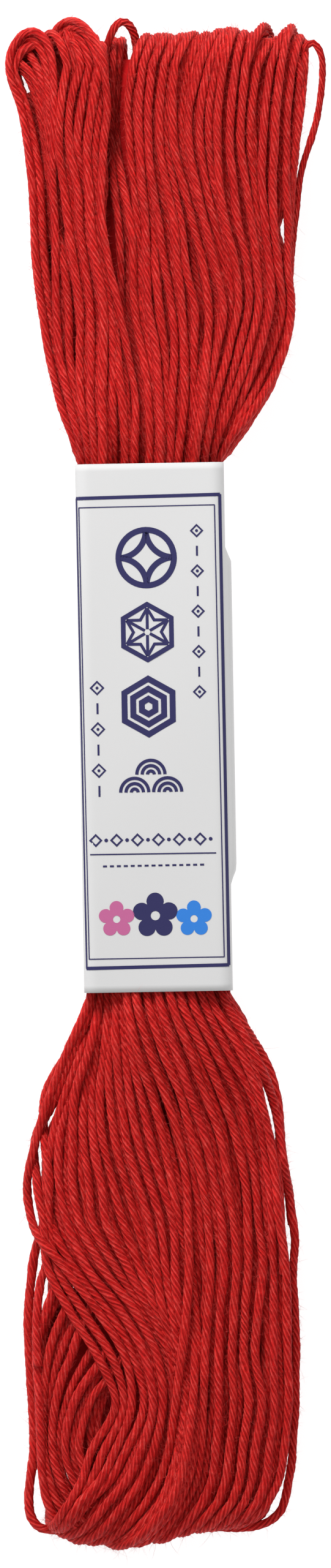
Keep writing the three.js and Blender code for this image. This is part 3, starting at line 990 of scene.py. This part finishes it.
def plied_tube(line, girth, crests):
    """Rings of a plied strand, each ply a furrow and its crest's points: points and fibre coordinates."""
    count = (1 + crests) * PLIES
    first, second = turned_frames(line)
    steps = len(line)
    run = run_along(line)
    around = np.arange(count) * 2 * np.pi / count
    lead = PLY_LEAD * chance.uniform(*LEAD_RANGE)
    start = chance.random() * PLY_START
    spin = -2 * np.pi * run / lead + start + PLY_WANDER * blur(chance.normal(0, 1, steps), PLY_BLUR)
    angle = (around[None, :] + spin[:, None])[..., None]
    furrow = 1 - np.minimum(np.arange(count) % (1 + crests), 1)
    fullness = chance.uniform(*GIRTH_RANGE)
    fat = girth * (fullness + GIRTH_UNEVEN * blur(chance.normal(0, 1, steps), GIRTH_BLUR))
    uneven = 1 + PLY_UNEVEN * chance.normal(0, 1, count)
    depth = PLY_DEPTH + UPPER_DEPTH * np.clip((line[:, 1] - UPPER["mouth"]) / UPPER_FADE, 0, 1)
    radius = STRAND_RADIUS * (1 - depth[:, None] * furrow[None, :]) * uneven[None, :] * fat[:, None]
    sideways = np.cos(angle) * first[:, None, :] + np.sin(angle) * second[:, None, :]
    drawn = run[:, None] * STREAK_DRAWN + chance.random() * STREAK_SPREAD
    fibre = np.stack(np.broadcast_arrays(np.cos(around), np.sin(around), drawn), axis=-1)
    return line[:, None, :] + radius[..., None] * sideways, fibre


def strand_piece(name, lines, material, girth=1.0, crests=1):
    """One mesh of plied strands."""
    points, faces, fibres, tints = [], [], [], []
    offset = 0
    for line in lines:
        rings, fibre = plied_tube(line, girth, crests)
        steps, count = rings.shape[:2]
        faces += tube_faces(offset, steps, count)
        points.append(rings.reshape(-1, 3))
        fibres.append(fibre.reshape(-1, 3))
        tints.append(np.full(steps * count, chance.random()))
        offset += steps * count
    attributes = {"tint": np.concatenate(tints), "fibre": np.concatenate(fibres)}
    return mesh_piece(name, np.concatenate(points), faces, material, attributes)


def core_piece(pile, material):
    """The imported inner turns, a soft form under the strands."""
    first, last = cad_box[0][1] / METRE + CORE_SHORT[0], cad_box[1][1] / METRE - CORE_SHORT[1]
    rows = np.linspace(first, last, CORE_ROWS)
    left, right = body_bounds(rows)
    mouth = np.clip((BAND_SIZE[2] / 2 - np.abs(rows - BAND_CENTRE[1])) / CORE_MOUTH + 1, 0, 1)
    top = pile.crown_along(rows) - CORE_BELOW + CORE_MOUTH_RISE * mouth
    inside = np.clip(np.minimum(rows - first, last - rows) / CORE_TAPER, 0, 1)
    wider, taller = (least + (1 - least) * np.sqrt(1 - (1 - inside) ** 2) for least in CORE_END)
    half = np.maximum(CORE_LEAST, (right - left) / 2 - CORE_INSET + CORE_MOUTH_WIDEN * mouth) * wider
    tall = (top - CORE_BOTTOM) / 2 * taller
    around = -np.linspace(0, 2 * np.pi, CORE_SIDES, endpoint=False)
    wide, high = (np.sign(part) * np.abs(part) ** CORE_SQUARE for part in (np.cos(around), np.sin(around)))
    x = ((left + right) / 2)[:, None] + half[:, None] * wide
    z = ((top + CORE_BOTTOM) / 2)[:, None] + tall[:, None] * high
    points = np.stack([x, np.broadcast_to(rows[:, None], x.shape), z], axis=-1)
    return mesh_piece("skein_core", points.reshape(-1, 3), tube_faces(0, CORE_ROWS, CORE_SIDES), material)


def unit(vectors):
    """Vectors of length one."""
    return vectors / np.linalg.norm(vectors, axis=1)[:, None]


def fuzz_roots(lines, count):
    """Random places on strands, clear of the band: root, outward direction and strand direction of each."""
    weights = np.array([len(line) for line in lines], float)
    picks = chance.choice(len(lines), count, p=weights / weights.sum())
    starts = np.array([chance.integers(2, len(lines[pick]) - 3) for pick in picks])
    here = np.array([lines[pick][i] for pick, i in zip(picks, starts)])
    ahead = np.array([lines[pick][i + 1] for pick, i in zip(picks, starts)])
    tangent = unit(ahead - here)
    outward = unit(np.cross(tangent, chance.normal(0, 1, (count, 3))))
    place = here + tangent * chance.uniform(0, STRAND_STEP, count)[:, None]
    root = place + outward * STRAND_RADIUS * FIBRE_ROOT
    clear = np.abs(root[:, 1] - BAND_CENTRE[1]) > BAND_SIZE[2] / 2 + FIBRE_CLEAR
    return root[clear], outward[clear], tangent[clear]


def fuzz_piece(name, lines, fuzz, material):
    """Loose fibre ends that stand off the strands, each a fine tapered thorn of three sides."""
    root, outward, tangent = fuzz_roots(lines, fuzz["count"])
    count, segments = len(root), fuzz["segments"]
    lift = chance.uniform(*fuzz["lift"], count)[:, None]
    aim = unit(outward * lift + tangent * chance.uniform(-1, 1, count)[:, None])
    bend = np.cross(aim, chance.normal(0, 1, (count, 3))) * chance.uniform(*FIBRE_BEND, count)[:, None]
    length = chance.uniform(*fuzz["long"], count)[:, None]
    wide = chance.uniform(*fuzz["thick"], count)[:, None]
    first = unit(np.cross(aim, outward + 0.3 * bend))
    second = np.cross(aim, first)
    rings = []
    for k in range(3 * segments):
        t = k // 3 / segments
        angle = 2 * math.pi * (k % 3) / 3
        centre = root + (aim * t + bend * t * t) * length
        sideways = math.cos(angle) * first + math.sin(angle) * second
        rings.append(centre + wide * (1 - FIBRE_TAPER * t) * sideways)
    rings.append(root + (aim + bend) * length)
    points = np.stack(rings, axis=1)
    points[..., 2] = np.maximum(points[..., 2], FIBRE_FLOOR)
    tip = 3 * segments
    patterns = [(2, 1, 0)]
    for k in range(tip):
        beside = k - 2 if k % 3 == 2 else k + 1
        patterns.append((k, beside, beside + 3, k + 3) if k + 3 < tip else (k, beside, tip))
    base = (np.arange(count) * (tip + 1))[:, None]
    faces = []
    for pattern in patterns:
        faces += (base + np.array([pattern])).tolist()
    return mesh_piece(name, points.reshape(-1, 3), faces, material)


# Materials
COTTON_DARK = (0.80, 0.004, 0.005)
COTTON_LIGHT = (0.98, 0.016, 0.015)
COTTON_COOL = (0.86, 0.006, 0.009)
COTTON_WARM = (0.97, 0.014, 0.009)
# Painted shade in the furrows between the plies
COTTON_FURROW_SHADE = (0.36, 0.0025, 0.003)
# A painted highlight on the ply crests
COTTON_CREST_HIGHLIGHT = (1.0, 0.18, 0.15)
COTTON_SHEEN = (1.0, 0.25, 0.22)
TINT_SHARE = 0.4
# Share of the painted furrow shade that felted patches hide: from the upper band's mouth down, and at the
# upper end
FURROW_SHADE_FILL = (0.7, 0.4)
# How felted patches weigh the painted crest highlight: felted times the first, plus the second
HIGHLIGHT_FELT = (0.7, 0.3)
# The inner turns are painted a darker red than the front strands, as painted shade seen between them
INNER_COTTON_SHADED = (0.7, 0.006, 0.008)
LOOSE_FIBRE = (0.85, 0.09, 0.08)
PAPER_DARK = (0.60, 0.60, 0.605)
PAPER_LIGHT = (0.67, 0.665, 0.66)
INKS = {"navy": (0.018, 0.016, 0.095), "pink": (0.52, 0.12, 0.29), "blue": (0.022, 0.20, 0.66)}


class Nodes:
    """The node tree of a material or a world, with short ways to add to it."""

    def __init__(self, owner):
        owner.use_nodes = True
        self.owner = owner
        self.tree = owner.node_tree

    def feed(self, node, inputs):
        """Links a node's inputs to sockets, or sets them to plain numbers and colours."""
        for key, value in inputs.items():
            if isinstance(value, bpy.types.NodeSocket):
                self.tree.links.new(value, node.inputs[key])
            else:
                colour = isinstance(value, tuple)
                node.inputs[key].default_value = (*value, 1.0) if colour else value

    def add(self, kind, inputs=None, **settings):
        """Outputs of a new node."""
        node = self.tree.nodes.new("ShaderNode" + kind)
        for key, value in settings.items():
            setattr(node, key, value)
        self.feed(node, inputs or {})
        return node.outputs

    def maths(self, operation, *values):
        """Output of a maths node."""
        return self.add("Math", dict(enumerate(values)), operation=operation)[0]

    def mixed(self, factor, first, second):
        """Output of a mix of two colours."""
        return self.add("Mix", {0: factor, 6: first, 7: second}, data_type="RGBA")[2]

    def ramp(self, value, low, high, start=0.0, end=1.0):
        """A value's place between two others, spread from start to end."""
        ends = {"From Min": low, "From Max": high, "To Min": start, "To Max": end}
        return self.add("MapRange", {"Value": value, **ends})["Result"]

    def noise(self, place, scale, detail, low, high):
        """Noise over some coordinates, spread over the range from 0 to 1."""
        inputs = {"Vector": place, "Scale": scale, "Detail": detail, "Roughness": 0.65}
        return self.ramp(self.add("TexNoise", inputs)["Fac"], low, high)

    def bump(self, height, strength, distance, **under):
        """Normal of a bump, over another normal where one is given."""
        inputs = {"Height": height, "Strength": strength, "Distance": distance, **under}
        return self.add("Bump", inputs)["Normal"]

    def shade(self, inputs):
        """The material, with its shader's inputs."""
        self.feed(self.tree.nodes["Principled BSDF"], inputs)
        return self.owner


def new_material(name):
    """The nodes of a new material."""
    return Nodes(bpy.data.materials.new(name))


def ply_wave(nodes, fibre, waver):
    """Height over each ply, from 0 in the furrows to 1 on the crests."""
    split = nodes.add("SeparateXYZ", {0: fibre})
    angle = nodes.maths("ARCTAN2", split["Y"], split["X"])
    turns = nodes.maths("MULTIPLY", angle, PLIES / (2 * math.pi))
    uneven = nodes.maths("MULTIPLY_ADD", waver, 0.5, turns)
    return nodes.maths("MULTIPLY", nodes.maths("PINGPONG", uneven, 0.5), 2.0)


def cotton_material():
    """Red plied cotton: fibre streaks, painted shade between the plies and a painted highlight on their
    crests.
    """
    nodes = new_material("red_cotton")
    fibre = nodes.add("Attribute", attribute_name="fibre")["Vector"]
    tint = nodes.add("Attribute", attribute_name="tint")["Fac"]
    place = nodes.add("TexCoord")["Object"]
    streak = nodes.noise(fibre, scale=2.4, detail=4.0, low=0.32, high=0.7)
    hairs = nodes.noise(fibre, scale=9.0, detail=3.0, low=0.3, high=0.72)
    felted = nodes.noise(place, scale=1700.0, detail=3.0, low=0.42, high=0.66)
    ply = ply_wave(nodes, fibre, streak)
    mouth = UPPER["mouth"] * METRE
    length = nodes.add("SeparateXYZ", {0: place})["Y"]
    # The painted furrow shade is hidden less towards the upper end of the skein, so it shows more there
    wear_and_shade_fill = nodes.ramp(length, mouth, mouth + UPPER_FADE * METRE, *FURROW_SHADE_FILL)
    base = nodes.mixed(streak, COTTON_DARK, COTTON_LIGHT)
    dyed = nodes.mixed(TINT_SHARE, base, nodes.mixed(tint, COTTON_COOL, COTTON_WARM))
    # Painted shade in the furrows between the plies, except where felted patches fill them
    filled = nodes.maths("MAXIMUM", ply, nodes.maths("MULTIPLY", felted, wear_and_shade_fill))
    furrow_shaded = nodes.mixed(filled, COTTON_FURROW_SHADE, dyed)
    # A painted highlight on the ply crests, in flecks along the fibres
    highlight_flecks = nodes.maths("MULTIPLY", hairs, nodes.maths("MULTIPLY_ADD", felted, *HIGHLIGHT_FELT))
    crest_highlight = nodes.maths("MULTIPLY", nodes.maths("POWER", ply, 2.0), highlight_flecks)
    fine = nodes.bump(hairs, strength=0.6, distance=0.00005)
    return nodes.shade({
        "Base Color": nodes.mixed(crest_highlight, furrow_shaded, COTTON_CREST_HIGHLIGHT),
        "Normal": nodes.bump(ply, strength=1.0, distance=0.0001, Normal=fine),
        "Roughness": 0.55,
        "Specular IOR Level": 0.12,
        "Sheen Weight": 0.05,
        "Sheen Roughness": 0.5,
        "Sheen Tint": COTTON_SHEEN,
    })


def mottled_material(name, first, second, scale, detail, roughness, gloss, bump=None):
    """A matte material with a fine mottle of two colours, and a bump where one is given."""
    nodes = new_material(name)
    mottle = nodes.add("TexNoise", {"Scale": scale, "Detail": detail})["Fac"]
    colour = nodes.mixed(mottle, first, second)
    inputs = {"Base Color": colour, "Roughness": roughness, "Specular IOR Level": gloss}
    if bump:
        inputs["Normal"] = nodes.bump(mottle, *bump)
    return nodes.shade(inputs)


def plain_cotton(name, colour):
    """Cotton for the inner turns and the loose fibres."""
    dark = tuple(c * 0.75 for c in colour)
    return mottled_material(name, dark, colour, scale=1500.0, detail=2.0, roughness=0.85, gloss=0.2)


def ink_material(name, colour):
    """Printing ink that has sunk a little into the paper."""
    wear_and_shade_fill = tuple(c * 0.9 + 0.012 for c in colour)
    return mottled_material(
        name, wear_and_shade_fill, colour, scale=2600.0, detail=3.0, roughness=0.6, gloss=0.3, bump=(0.2, 0.00001)
    )


def paper_material():
    """Uncoated pale paper with a faint fibre mottle."""
    return mottled_material(
        "pale_paper", PAPER_DARK, PAPER_LIGHT, scale=900.0, detail=4.0, roughness=0.62, gloss=0.35,
        bump=(0.15, 0.00003),
    )


# The paper band: across and along are measured from its middle
def paper_wave(u, v):
    """How far the front of the paper stands proud or falls short of flat."""
    wave = PAPER_WAVE * np.cos(u * 0.42) * np.cos(v * 0.19 + 0.5)
    return wave + PAPER_RIPPLE * np.cos(u * 0.9 + v * 0.31)


def front_face(u, v):
    """Places on the front of the paper and the outward direction there."""
    half, tall = BAND_SIZE[0] / 2, BAND_SIZE[1]
    over = np.clip(np.abs(u) - (half - BAND_FOLD), 0, BAND_FOLD * 0.995)
    flat = np.sqrt(BAND_FOLD**2 - over**2)
    place = np.stack([u, v, tall - BAND_FOLD + flat + paper_wave(u, v) * flat / BAND_FOLD], axis=-1)
    out = np.stack([np.sign(u) * over, np.zeros_like(u), flat], axis=-1) / BAND_FOLD
    return place, out


def quarter_turn(x, z, radius, start):
    """Points of a rounded corner, from a start angle."""
    turn = np.radians(start + np.linspace(0, 90, 9))
    return np.column_stack([x + radius * np.cos(turn), z + radius * np.sin(turn)])


def band_section():
    """Middle line of the paper: across and height, from the end inside the lap round to the outer end."""
    half, tall = BAND_SIZE[0] / 2 - PAPER / 2, BAND_SIZE[1] - PAPER / 2
    low = PAPER / 2
    under = low + PAPER + LAP_GAP
    corner, fold = BAND_CORNER, BAND_FOLD - PAPER / 2
    path = np.vstack([
        [(-BAND_LAP / 2, under), (BAND_LAP / 2, under), (BAND_LAP / 2 + LAP_STEP[0], low + LAP_STEP[1])],
        quarter_turn(half - corner, low + corner, corner, -90),
        quarter_turn(half - fold, tall - fold, fold, 0),
        quarter_turn(fold - half, tall - fold, fold, 90),
        quarter_turn(corner - half, low + corner, corner, 180),
        [(BAND_LAP / 2, low)],
    ])
    run = run_along(path)
    places = np.linspace(0, run[-1], BAND_POINTS)
    return np.column_stack([np.interp(places, run, path[:, k]) for k in (0, 1)])


def band_place(points):
    """Carries points of the band's own frame to their place on the skein."""
    c, s = math.cos(BAND_TILT), math.sin(BAND_TILT)
    x = points[:, 0] * c - points[:, 1] * s + BAND_CENTRE[0]
    y = points[:, 0] * s + points[:, 1] * c + BAND_CENTRE[1]
    return np.column_stack([x, y, points[:, 2]])


def on_band(px, py):
    """Place in the band's own frame of a spot of the photo."""
    x, y = across(px) - BAND_CENTRE[0], along(py) - BAND_CENTRE[1]
    c, s = math.cos(BAND_TILT), math.sin(BAND_TILT)
    return np.array([x * c + y * s, y * c - x * s])


def side_bulge(section, v):
    """How far the right side of the paper stands out beyond the fold."""
    first, last = (along(row) - BAND_CENTRE[1] for row in BAND_BULGE_ROWS)
    inside = np.clip(np.minimum(first - v, v - last) / BAND_EASE + 0.5, 0, 1)
    below = BAND_SIZE[1] - BAND_FOLD * BULGE_BELOW - section[:, 1]
    rise = np.clip(below / (BAND_SIZE[1] - BULGE_DEEP), 0, 1)
    right = np.clip(section[:, 0] - (BAND_SIZE[0] / 2 - BULGE_INSET), 0, 1)
    return BAND_BULGE * inside * np.sin(np.pi * rise**BULGE_CURVE) * right


def band_piece(material):
    """The paper strip, wrapped once round and lapped at the back."""
    section = band_section()
    count = len(section)
    ahead = np.gradient(section, axis=0)
    normal = unit(np.column_stack([ahead[:, 1], -ahead[:, 0]]))
    rows = np.linspace(-BAND_SIZE[2] / 2, BAND_SIZE[2] / 2, BAND_ROWS)
    top = np.clip((section[:, 1] - BAND_SIZE[1] + BAND_FOLD) / BAND_FOLD, 0, 1)
    shells = []
    for side in (0.5, -0.5):
        face = section + normal * PAPER * side
        for v in rows:
            x = face[:, 0] + side_bulge(section, v)
            z = face[:, 1] + paper_wave(section[:, 0], v) * top
            shells.append(np.column_stack([x, np.full(count, v), z]))
    total = len(rows) * count
    grid = np.arange(total).reshape(len(rows), count)
    skin = np.stack([grid[:-1, :-1], grid[:-1, 1:], grid[1:, 1:], grid[1:, :-1]], axis=-1).reshape(-1, 4)
    loop = np.concatenate([grid[0], grid[1:, -1], grid[-1, -2::-1], grid[-2:0:-1, 0]])
    following = np.roll(loop, -1)
    edge = np.stack([loop, following, total + following, total + loop], axis=-1)
    faces = [*skin[:, ::-1].tolist(), *(total + skin).tolist(), *edge.tolist()]
    return mesh_piece("band_paper", band_place(np.concatenate(shells)), faces, material)


# The print: plates of ink on the paper, gathered as outlines in the band's own frame
SHARPEST_MITRE = 0.4


class Print:
    """Ink shapes of one colour."""

    def __init__(self):
        self.points = []
        self.faces = []
        self.count = 0

    def plate(self, rim, top):
        """Adds a closed plate from points on the front and the faces of its top."""
        place, out = front_face(rim[:, 0], rim[:, 1])
        self.points += [place + out * (INK_LIFT + INK_THICK), place + out * INK_LIFT]
        size = len(rim)
        top = [[self.count + k for k in face] for face in top]
        self.faces += top + [[k + size for k in reversed(face)] for face in top]
        edges = [edge for face in top for edge in zip(face, face[1:] + face[:1])]
        inner = set(edges)
        self.faces += [[b, a, a + size, b + size] for a, b in edges if (b, a) not in inner]
        self.count += 2 * size

    def strip(self, first, second, closed):
        """A strip between two lines of the same number of points."""
        n = len(first)
        steps = n if closed else n - 1
        faces = [[k, (k + 1) % n, n + (k + 1) % n, n + k] for k in range(steps)]
        self.plate(np.vstack([first, second]), faces)

    def stroke(self, points, width, closed=False):
        """A line of even width through points."""
        points = np.asarray(points, float)
        before = np.roll(points, 1, axis=0)
        after = np.roll(points, -1, axis=0)
        if not closed:
            before[0] = 2 * points[0] - points[1]
            after[-1] = 2 * points[-1] - points[-2]
        first, second = unit(points - before), unit(after - points)
        square = unit(np.column_stack([-(first + second)[:, 1], (first + second)[:, 0]]))
        beside = np.column_stack([-first[:, 1], first[:, 0]])
        lean = np.maximum(np.abs(np.sum(square * beside, axis=1)), SHARPEST_MITRE)
        off = square * (width / 2 / lean)[:, None]
        self.strip(points - off, points + off, closed)

    def filled(self, points):
        """A filled shape round its middle."""
        n = len(points)
        self.plate(np.vstack([points, points.mean(axis=0)]), [[k, (k + 1) % n, n] for k in range(n)])

    def piece(self, name, material):
        """The mesh of all the plates."""
        return mesh_piece(name, band_place(np.concatenate(self.points)), self.faces, material, smooth=False)


def straight(start, end, step=0.25):
    """Points at a small step along a straight line."""
    count = max(2, int(np.ceil(np.linalg.norm(end - start) / step)) + 1)
    return start + (end - start) * np.linspace(0, 1, count)[:, None]


def ring(middle, radius, sides, start=0.0, turn=360.0):
    """Points round a circle or a regular polygon; an arc where the turn is less than full."""
    whole = turn >= 360.0
    angle = np.radians(start + turn * np.arange(sides if whole else sides + 1) / sides)
    return middle + radius * np.column_stack([np.cos(angle), np.sin(angle)])


def frame_lines(ink, corners, widths):
    """A four-sided frame, each side with its own line width: top, right, bottom, left."""
    corners = [on_band(*corner) for corner in corners]
    for k, width in enumerate(widths):
        first, second = corners[k], corners[(k + 1) % 4]
        reach = (second - first) / np.linalg.norm(second - first) * 0.02
        ink.stroke(straight(first - reach, second + reach), width)


def circle_flower(ink, middle, radius, width):
    """A circle crossed by the arcs of its four neighbours."""
    ink.stroke(ring(middle, radius, 48), width, closed=True)
    for away in (45, 135, 225, 315):
        centre = ring(middle, radius * math.sqrt(2), 1, away)[0]
        ink.stroke(ring(centre, radius, 16, away + 180 - 41, 82), width)


def leaf_star(ink, middle, radius, width):
    """A six-pointed star of leaves inside a hexagon."""
    ink.stroke(ring(middle, radius, 6, 90), width * 0.8, closed=True)
    tips = ring(middle, radius * 0.86, 6, 90)
    waists = ring(middle, radius * 0.5, 6, 120)
    for k in range(6):
        ink.stroke(straight(middle + (tips[k] - middle) * 0.12, tips[k]), width * 0.5)
        ink.stroke(np.array([tips[k], waists[k], tips[(k + 1) % 6]]), width * 0.5)


def nested_hexagons(ink, middle, radius, width):
    """Three hexagons, one inside the other."""
    for share in (1.0, 0.64, 0.28):
        ink.stroke(ring(middle, radius * share, 6, 90), width, closed=True)


def wave_scales(ink, middle, radius, width):
    """Three waves of concentric arcs, one over two."""
    wide = radius * 0.56
    for place in ((-1.06, -0.52), (1.06, -0.52), (0.0, 0.62)):
        for share in (1.0, 0.62, 0.24):
            arc = ring(middle + wide * np.array(place), (wide - width / 4) * share, 20, 0, 180)
            ink.stroke(arc, width * 0.55)


def blossom(ink, middle, radius):
    """A flower of five round petals about an open heart."""
    angle = np.radians(np.arange(80) * 4.5)
    petals = radius * (0.60 + 0.40 * np.abs(np.cos(2.5 * (angle - np.pi / 2))) ** 0.7)
    outward = np.column_stack([np.cos(angle), np.sin(angle)])
    ink.strip(middle + outward * petals[:, None], middle + outward * radius * 0.2, closed=True)


# The design: places are photo columns and rows, sizes and line widths are millimetres
MOTIFS = (
    (circle_flower, 239, 912),
    (leaf_star, 241, 1033),
    (nested_hexagons, 243, 1154),
    (wave_scales, 247, 1280),
)
MOTIF_RADIUS = 2.35
MOTIF_LINE = 0.5
STITCH_COLUMNS = (
    {"start": (321, 868), "end": (326, 1130), "count": 9, "size": 0.42},
    {"start": (159, 1124), "end": (163, 1292), "count": 6, "size": 0.46},
)
STITCH_LINE = 0.17
STITCH_DOT = 0.13
STITCH_DIAMOND = 1.15
DIAMOND_LINE = 0.14
OUTER_FRAME = ((125.5, 816), (358.5, 809), (373.5, 1574), (142.5, 1580))
OUTER_WIDTHS = (0.29, 0.25, 0.29, 0.12)
INNER_FRAME = ((129.5, 831), (350, 826), (366, 1561), (146.5, 1565))
INNER_WIDTHS = (0.09, 0.09, 0.09, 0.08)
RULE = ((148, 1395), (353, 1392))
RULE_WIDTH = 0.11
DIAMOND_ROW = {
    "start": (157, 1372), "end": (344, 1369), "count": 12, "size": 0.46, "line": 0.15, "dot": 0.16,
}
DASH_ROW = {"start": (172, 1414), "end": (330, 1411), "count": 15, "size": 0.17, "line": 0.16}
BLOSSOMS = (("pink", 191, 1500, 1.55), ("navy", 254, 1494, 1.95), ("blue", 317, 1499, 1.55))


def photo_row(row):
    """Even places in the band's frame between two spots of the photo."""
    start, end = on_band(*row["start"]), on_band(*row["end"])
    return start + (end - start) * np.linspace(0, 1, row["count"])[:, None]


def print_pieces(materials):
    """The band's printed design: a double frame, sewing patterns, stitch rows and blossoms."""
    inks = {name: Print() for name in materials}
    navy = inks["navy"]
    frame_lines(navy, OUTER_FRAME, OUTER_WIDTHS)
    frame_lines(navy, INNER_FRAME, INNER_WIDTHS)
    for draw, column, row in MOTIFS:
        draw(navy, on_band(column, row), MOTIF_RADIUS, MOTIF_LINE)
    for column in STITCH_COLUMNS:
        up = np.array([0, column["size"]])
        for k, spot in enumerate(photo_row(column)):
            if k % 2:
                navy.stroke(straight(spot - up, spot + up), STITCH_LINE)
            else:
                navy.stroke(ring(spot, column["size"] * STITCH_DIAMOND, 4), DIAMOND_LINE, closed=True)
                navy.filled(ring(spot, STITCH_DOT, 10))
    navy.stroke(straight(on_band(*RULE[0]), on_band(*RULE[1])), RULE_WIDTH)
    for k, spot in enumerate(photo_row(DIAMOND_ROW)):
        if k % 2:
            navy.filled(ring(spot, DIAMOND_ROW["dot"], 12))
        else:
            navy.stroke(ring(spot, DIAMOND_ROW["size"], 4), DIAMOND_ROW["line"], closed=True)
    right = np.array([DASH_ROW["size"], 0])
    for spot in photo_row(DASH_ROW):
        navy.stroke(straight(spot - right, spot + right), DASH_ROW["line"])
    for name, column, row, radius in BLOSSOMS:
        blossom(inks[name], on_band(column, row), radius)
    return [inks[name].piece(f"band_print_{name}", materials[name]) for name in materials]


# Floor, in millimetres, and light and camera, in metres
FLOOR_REACH = 4000.0
FLOOR_BELOW = 0.02
FLOOR_COLOUR = (0.2, 0.2, 0.2)
FLOOR_GLOW = 0.92
WHITE = (1.0, 1.0, 1.0)
SKY_STRENGTH = 0.62
HORIZON = (0.08, 0.2)
KEY_PLACE = (-0.10, 0.28, 0.23)
KEY_SIZE = 0.16
KEY_POWER = 1.22
CAMERA_HEIGHT = 1.2
FOCUS_HEIGHT = 0.004


def floor_piece():
    """A pale floor with a little light of its own, as a lit studio table has."""
    material = new_material("pale_floor").shade({
        "Base Color": FLOOR_COLOUR,
        "Roughness": 0.9,
        "Specular IOR Level": 0.1,
        "Emission Color": WHITE,
        "Emission Strength": FLOOR_GLOW,
    })
    corners = FLOOR_REACH * np.array([(-1, -1, 0), (1, -1, 0), (1, 1, 0), (-1, 1, 0)])
    return mesh_piece("floor", corners - (0, 0, FLOOR_BELOW), [(0, 1, 2, 3)], material, smooth=False)


def studio_world():
    """Even white light from above, a little brighter along the horizon."""
    nodes = Nodes(bpy.data.worlds.new("studio"))
    height = nodes.add("SeparateXYZ", {0: nodes.add("TexCoord")["Generated"]})["Z"]
    strength = nodes.ramp(height, *HORIZON, 1.0, SKY_STRENGTH)
    nodes.feed(nodes.tree.nodes["Background"], {"Color": WHITE, "Strength": strength})
    return nodes.owner


def place_in_scene(name, data, place):
    """An object for a lamp or a camera."""
    holder = bpy.data.objects.new(name, data)
    holder.location = place
    bpy.context.scene.collection.objects.link(holder)
    return holder


def key_light():
    """A soft square lamp, aimed at the middle of the skein."""
    lamp = bpy.data.lights.new("key", "AREA")
    lamp.size = KEY_SIZE
    lamp.energy = KEY_POWER
    holder = place_in_scene("key", lamp, KEY_PLACE)
    holder.rotation_euler = (-Vector(KEY_PLACE)).to_track_quat("-Z", "Y").to_euler()


def photo_camera():
    """A camera straight above the skein, framed as the photo is."""
    camera = bpy.data.cameras.new("camera")
    camera.sensor_fit = "VERTICAL"
    camera.sensor_height = 36.0
    frame_height = PHOTO_FRAME[1] * MM_PER_PIXEL * METRE
    camera.lens = camera.sensor_height * (CAMERA_HEIGHT - FOCUS_HEIGHT) / frame_height
    camera.clip_end = 20.0
    middle = (PHOTO_FRAME[0] / 2 - PHOTO_CENTRE[0]) * MM_PER_PIXEL * METRE
    return place_in_scene("camera", camera, (middle, 0.0, CAMERA_HEIGHT))


# Building
pile = Pile("skein")
upper_front, upper_back, upper_inner = upper_lines(pile)
lower_front, lower_back, lower_inner = lower_lines(pile)
slipped = [off_floor(photo_path(SLIPPED_LOOP))]
fronts = upper_front + lower_front

cotton = cotton_material()
# Cotton of the hidden core, painted darker as shade
inner_cotton_shaded = plain_cotton("inner_cotton_shaded", INNER_COTTON_SHADED)
fibre_cotton = plain_cotton("loose_fibre", LOOSE_FIBRE)
skein_pieces = [
    strand_piece("skein_upper_front", upper_front, cotton, UPPER_GIRTH, crests=2),
    strand_piece("skein_upper_back", upper_back, cotton),
    strand_piece("skein_upper_inner", upper_inner, cotton),
    strand_piece("skein_lower_front", lower_front, cotton, LOWER_GIRTH, crests=2),
    strand_piece("skein_lower_back", lower_back, cotton),
    strand_piece("skein_lower_inner", lower_inner, cotton),
    strand_piece("skein_slipped_loop", slipped, cotton, SLIPPED_GIRTH, crests=2),
    core_piece(pile, inner_cotton_shaded),
    fuzz_piece("skein_nap", fronts, NAP, fibre_cotton),
    fuzz_piece("skein_stray_fibres", fronts, STRAYS, fibre_cotton),
]
for piece in skein_pieces:
    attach(piece, "root")
    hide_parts("skein")

band = band_piece(paper_material())
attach(band, "root")
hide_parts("band")
prints = print_pieces({name: ink_material(f"{name}_ink", colour) for name, colour in INKS.items()})
for piece in prints:
    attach(piece, "root")
    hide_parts("band")

floor_piece()
bpy.context.scene.world = studio_world()
key_light()
bpy.context.scene.camera = photo_camera()
bpy.context.scene.view_settings.view_transform = "Standard"
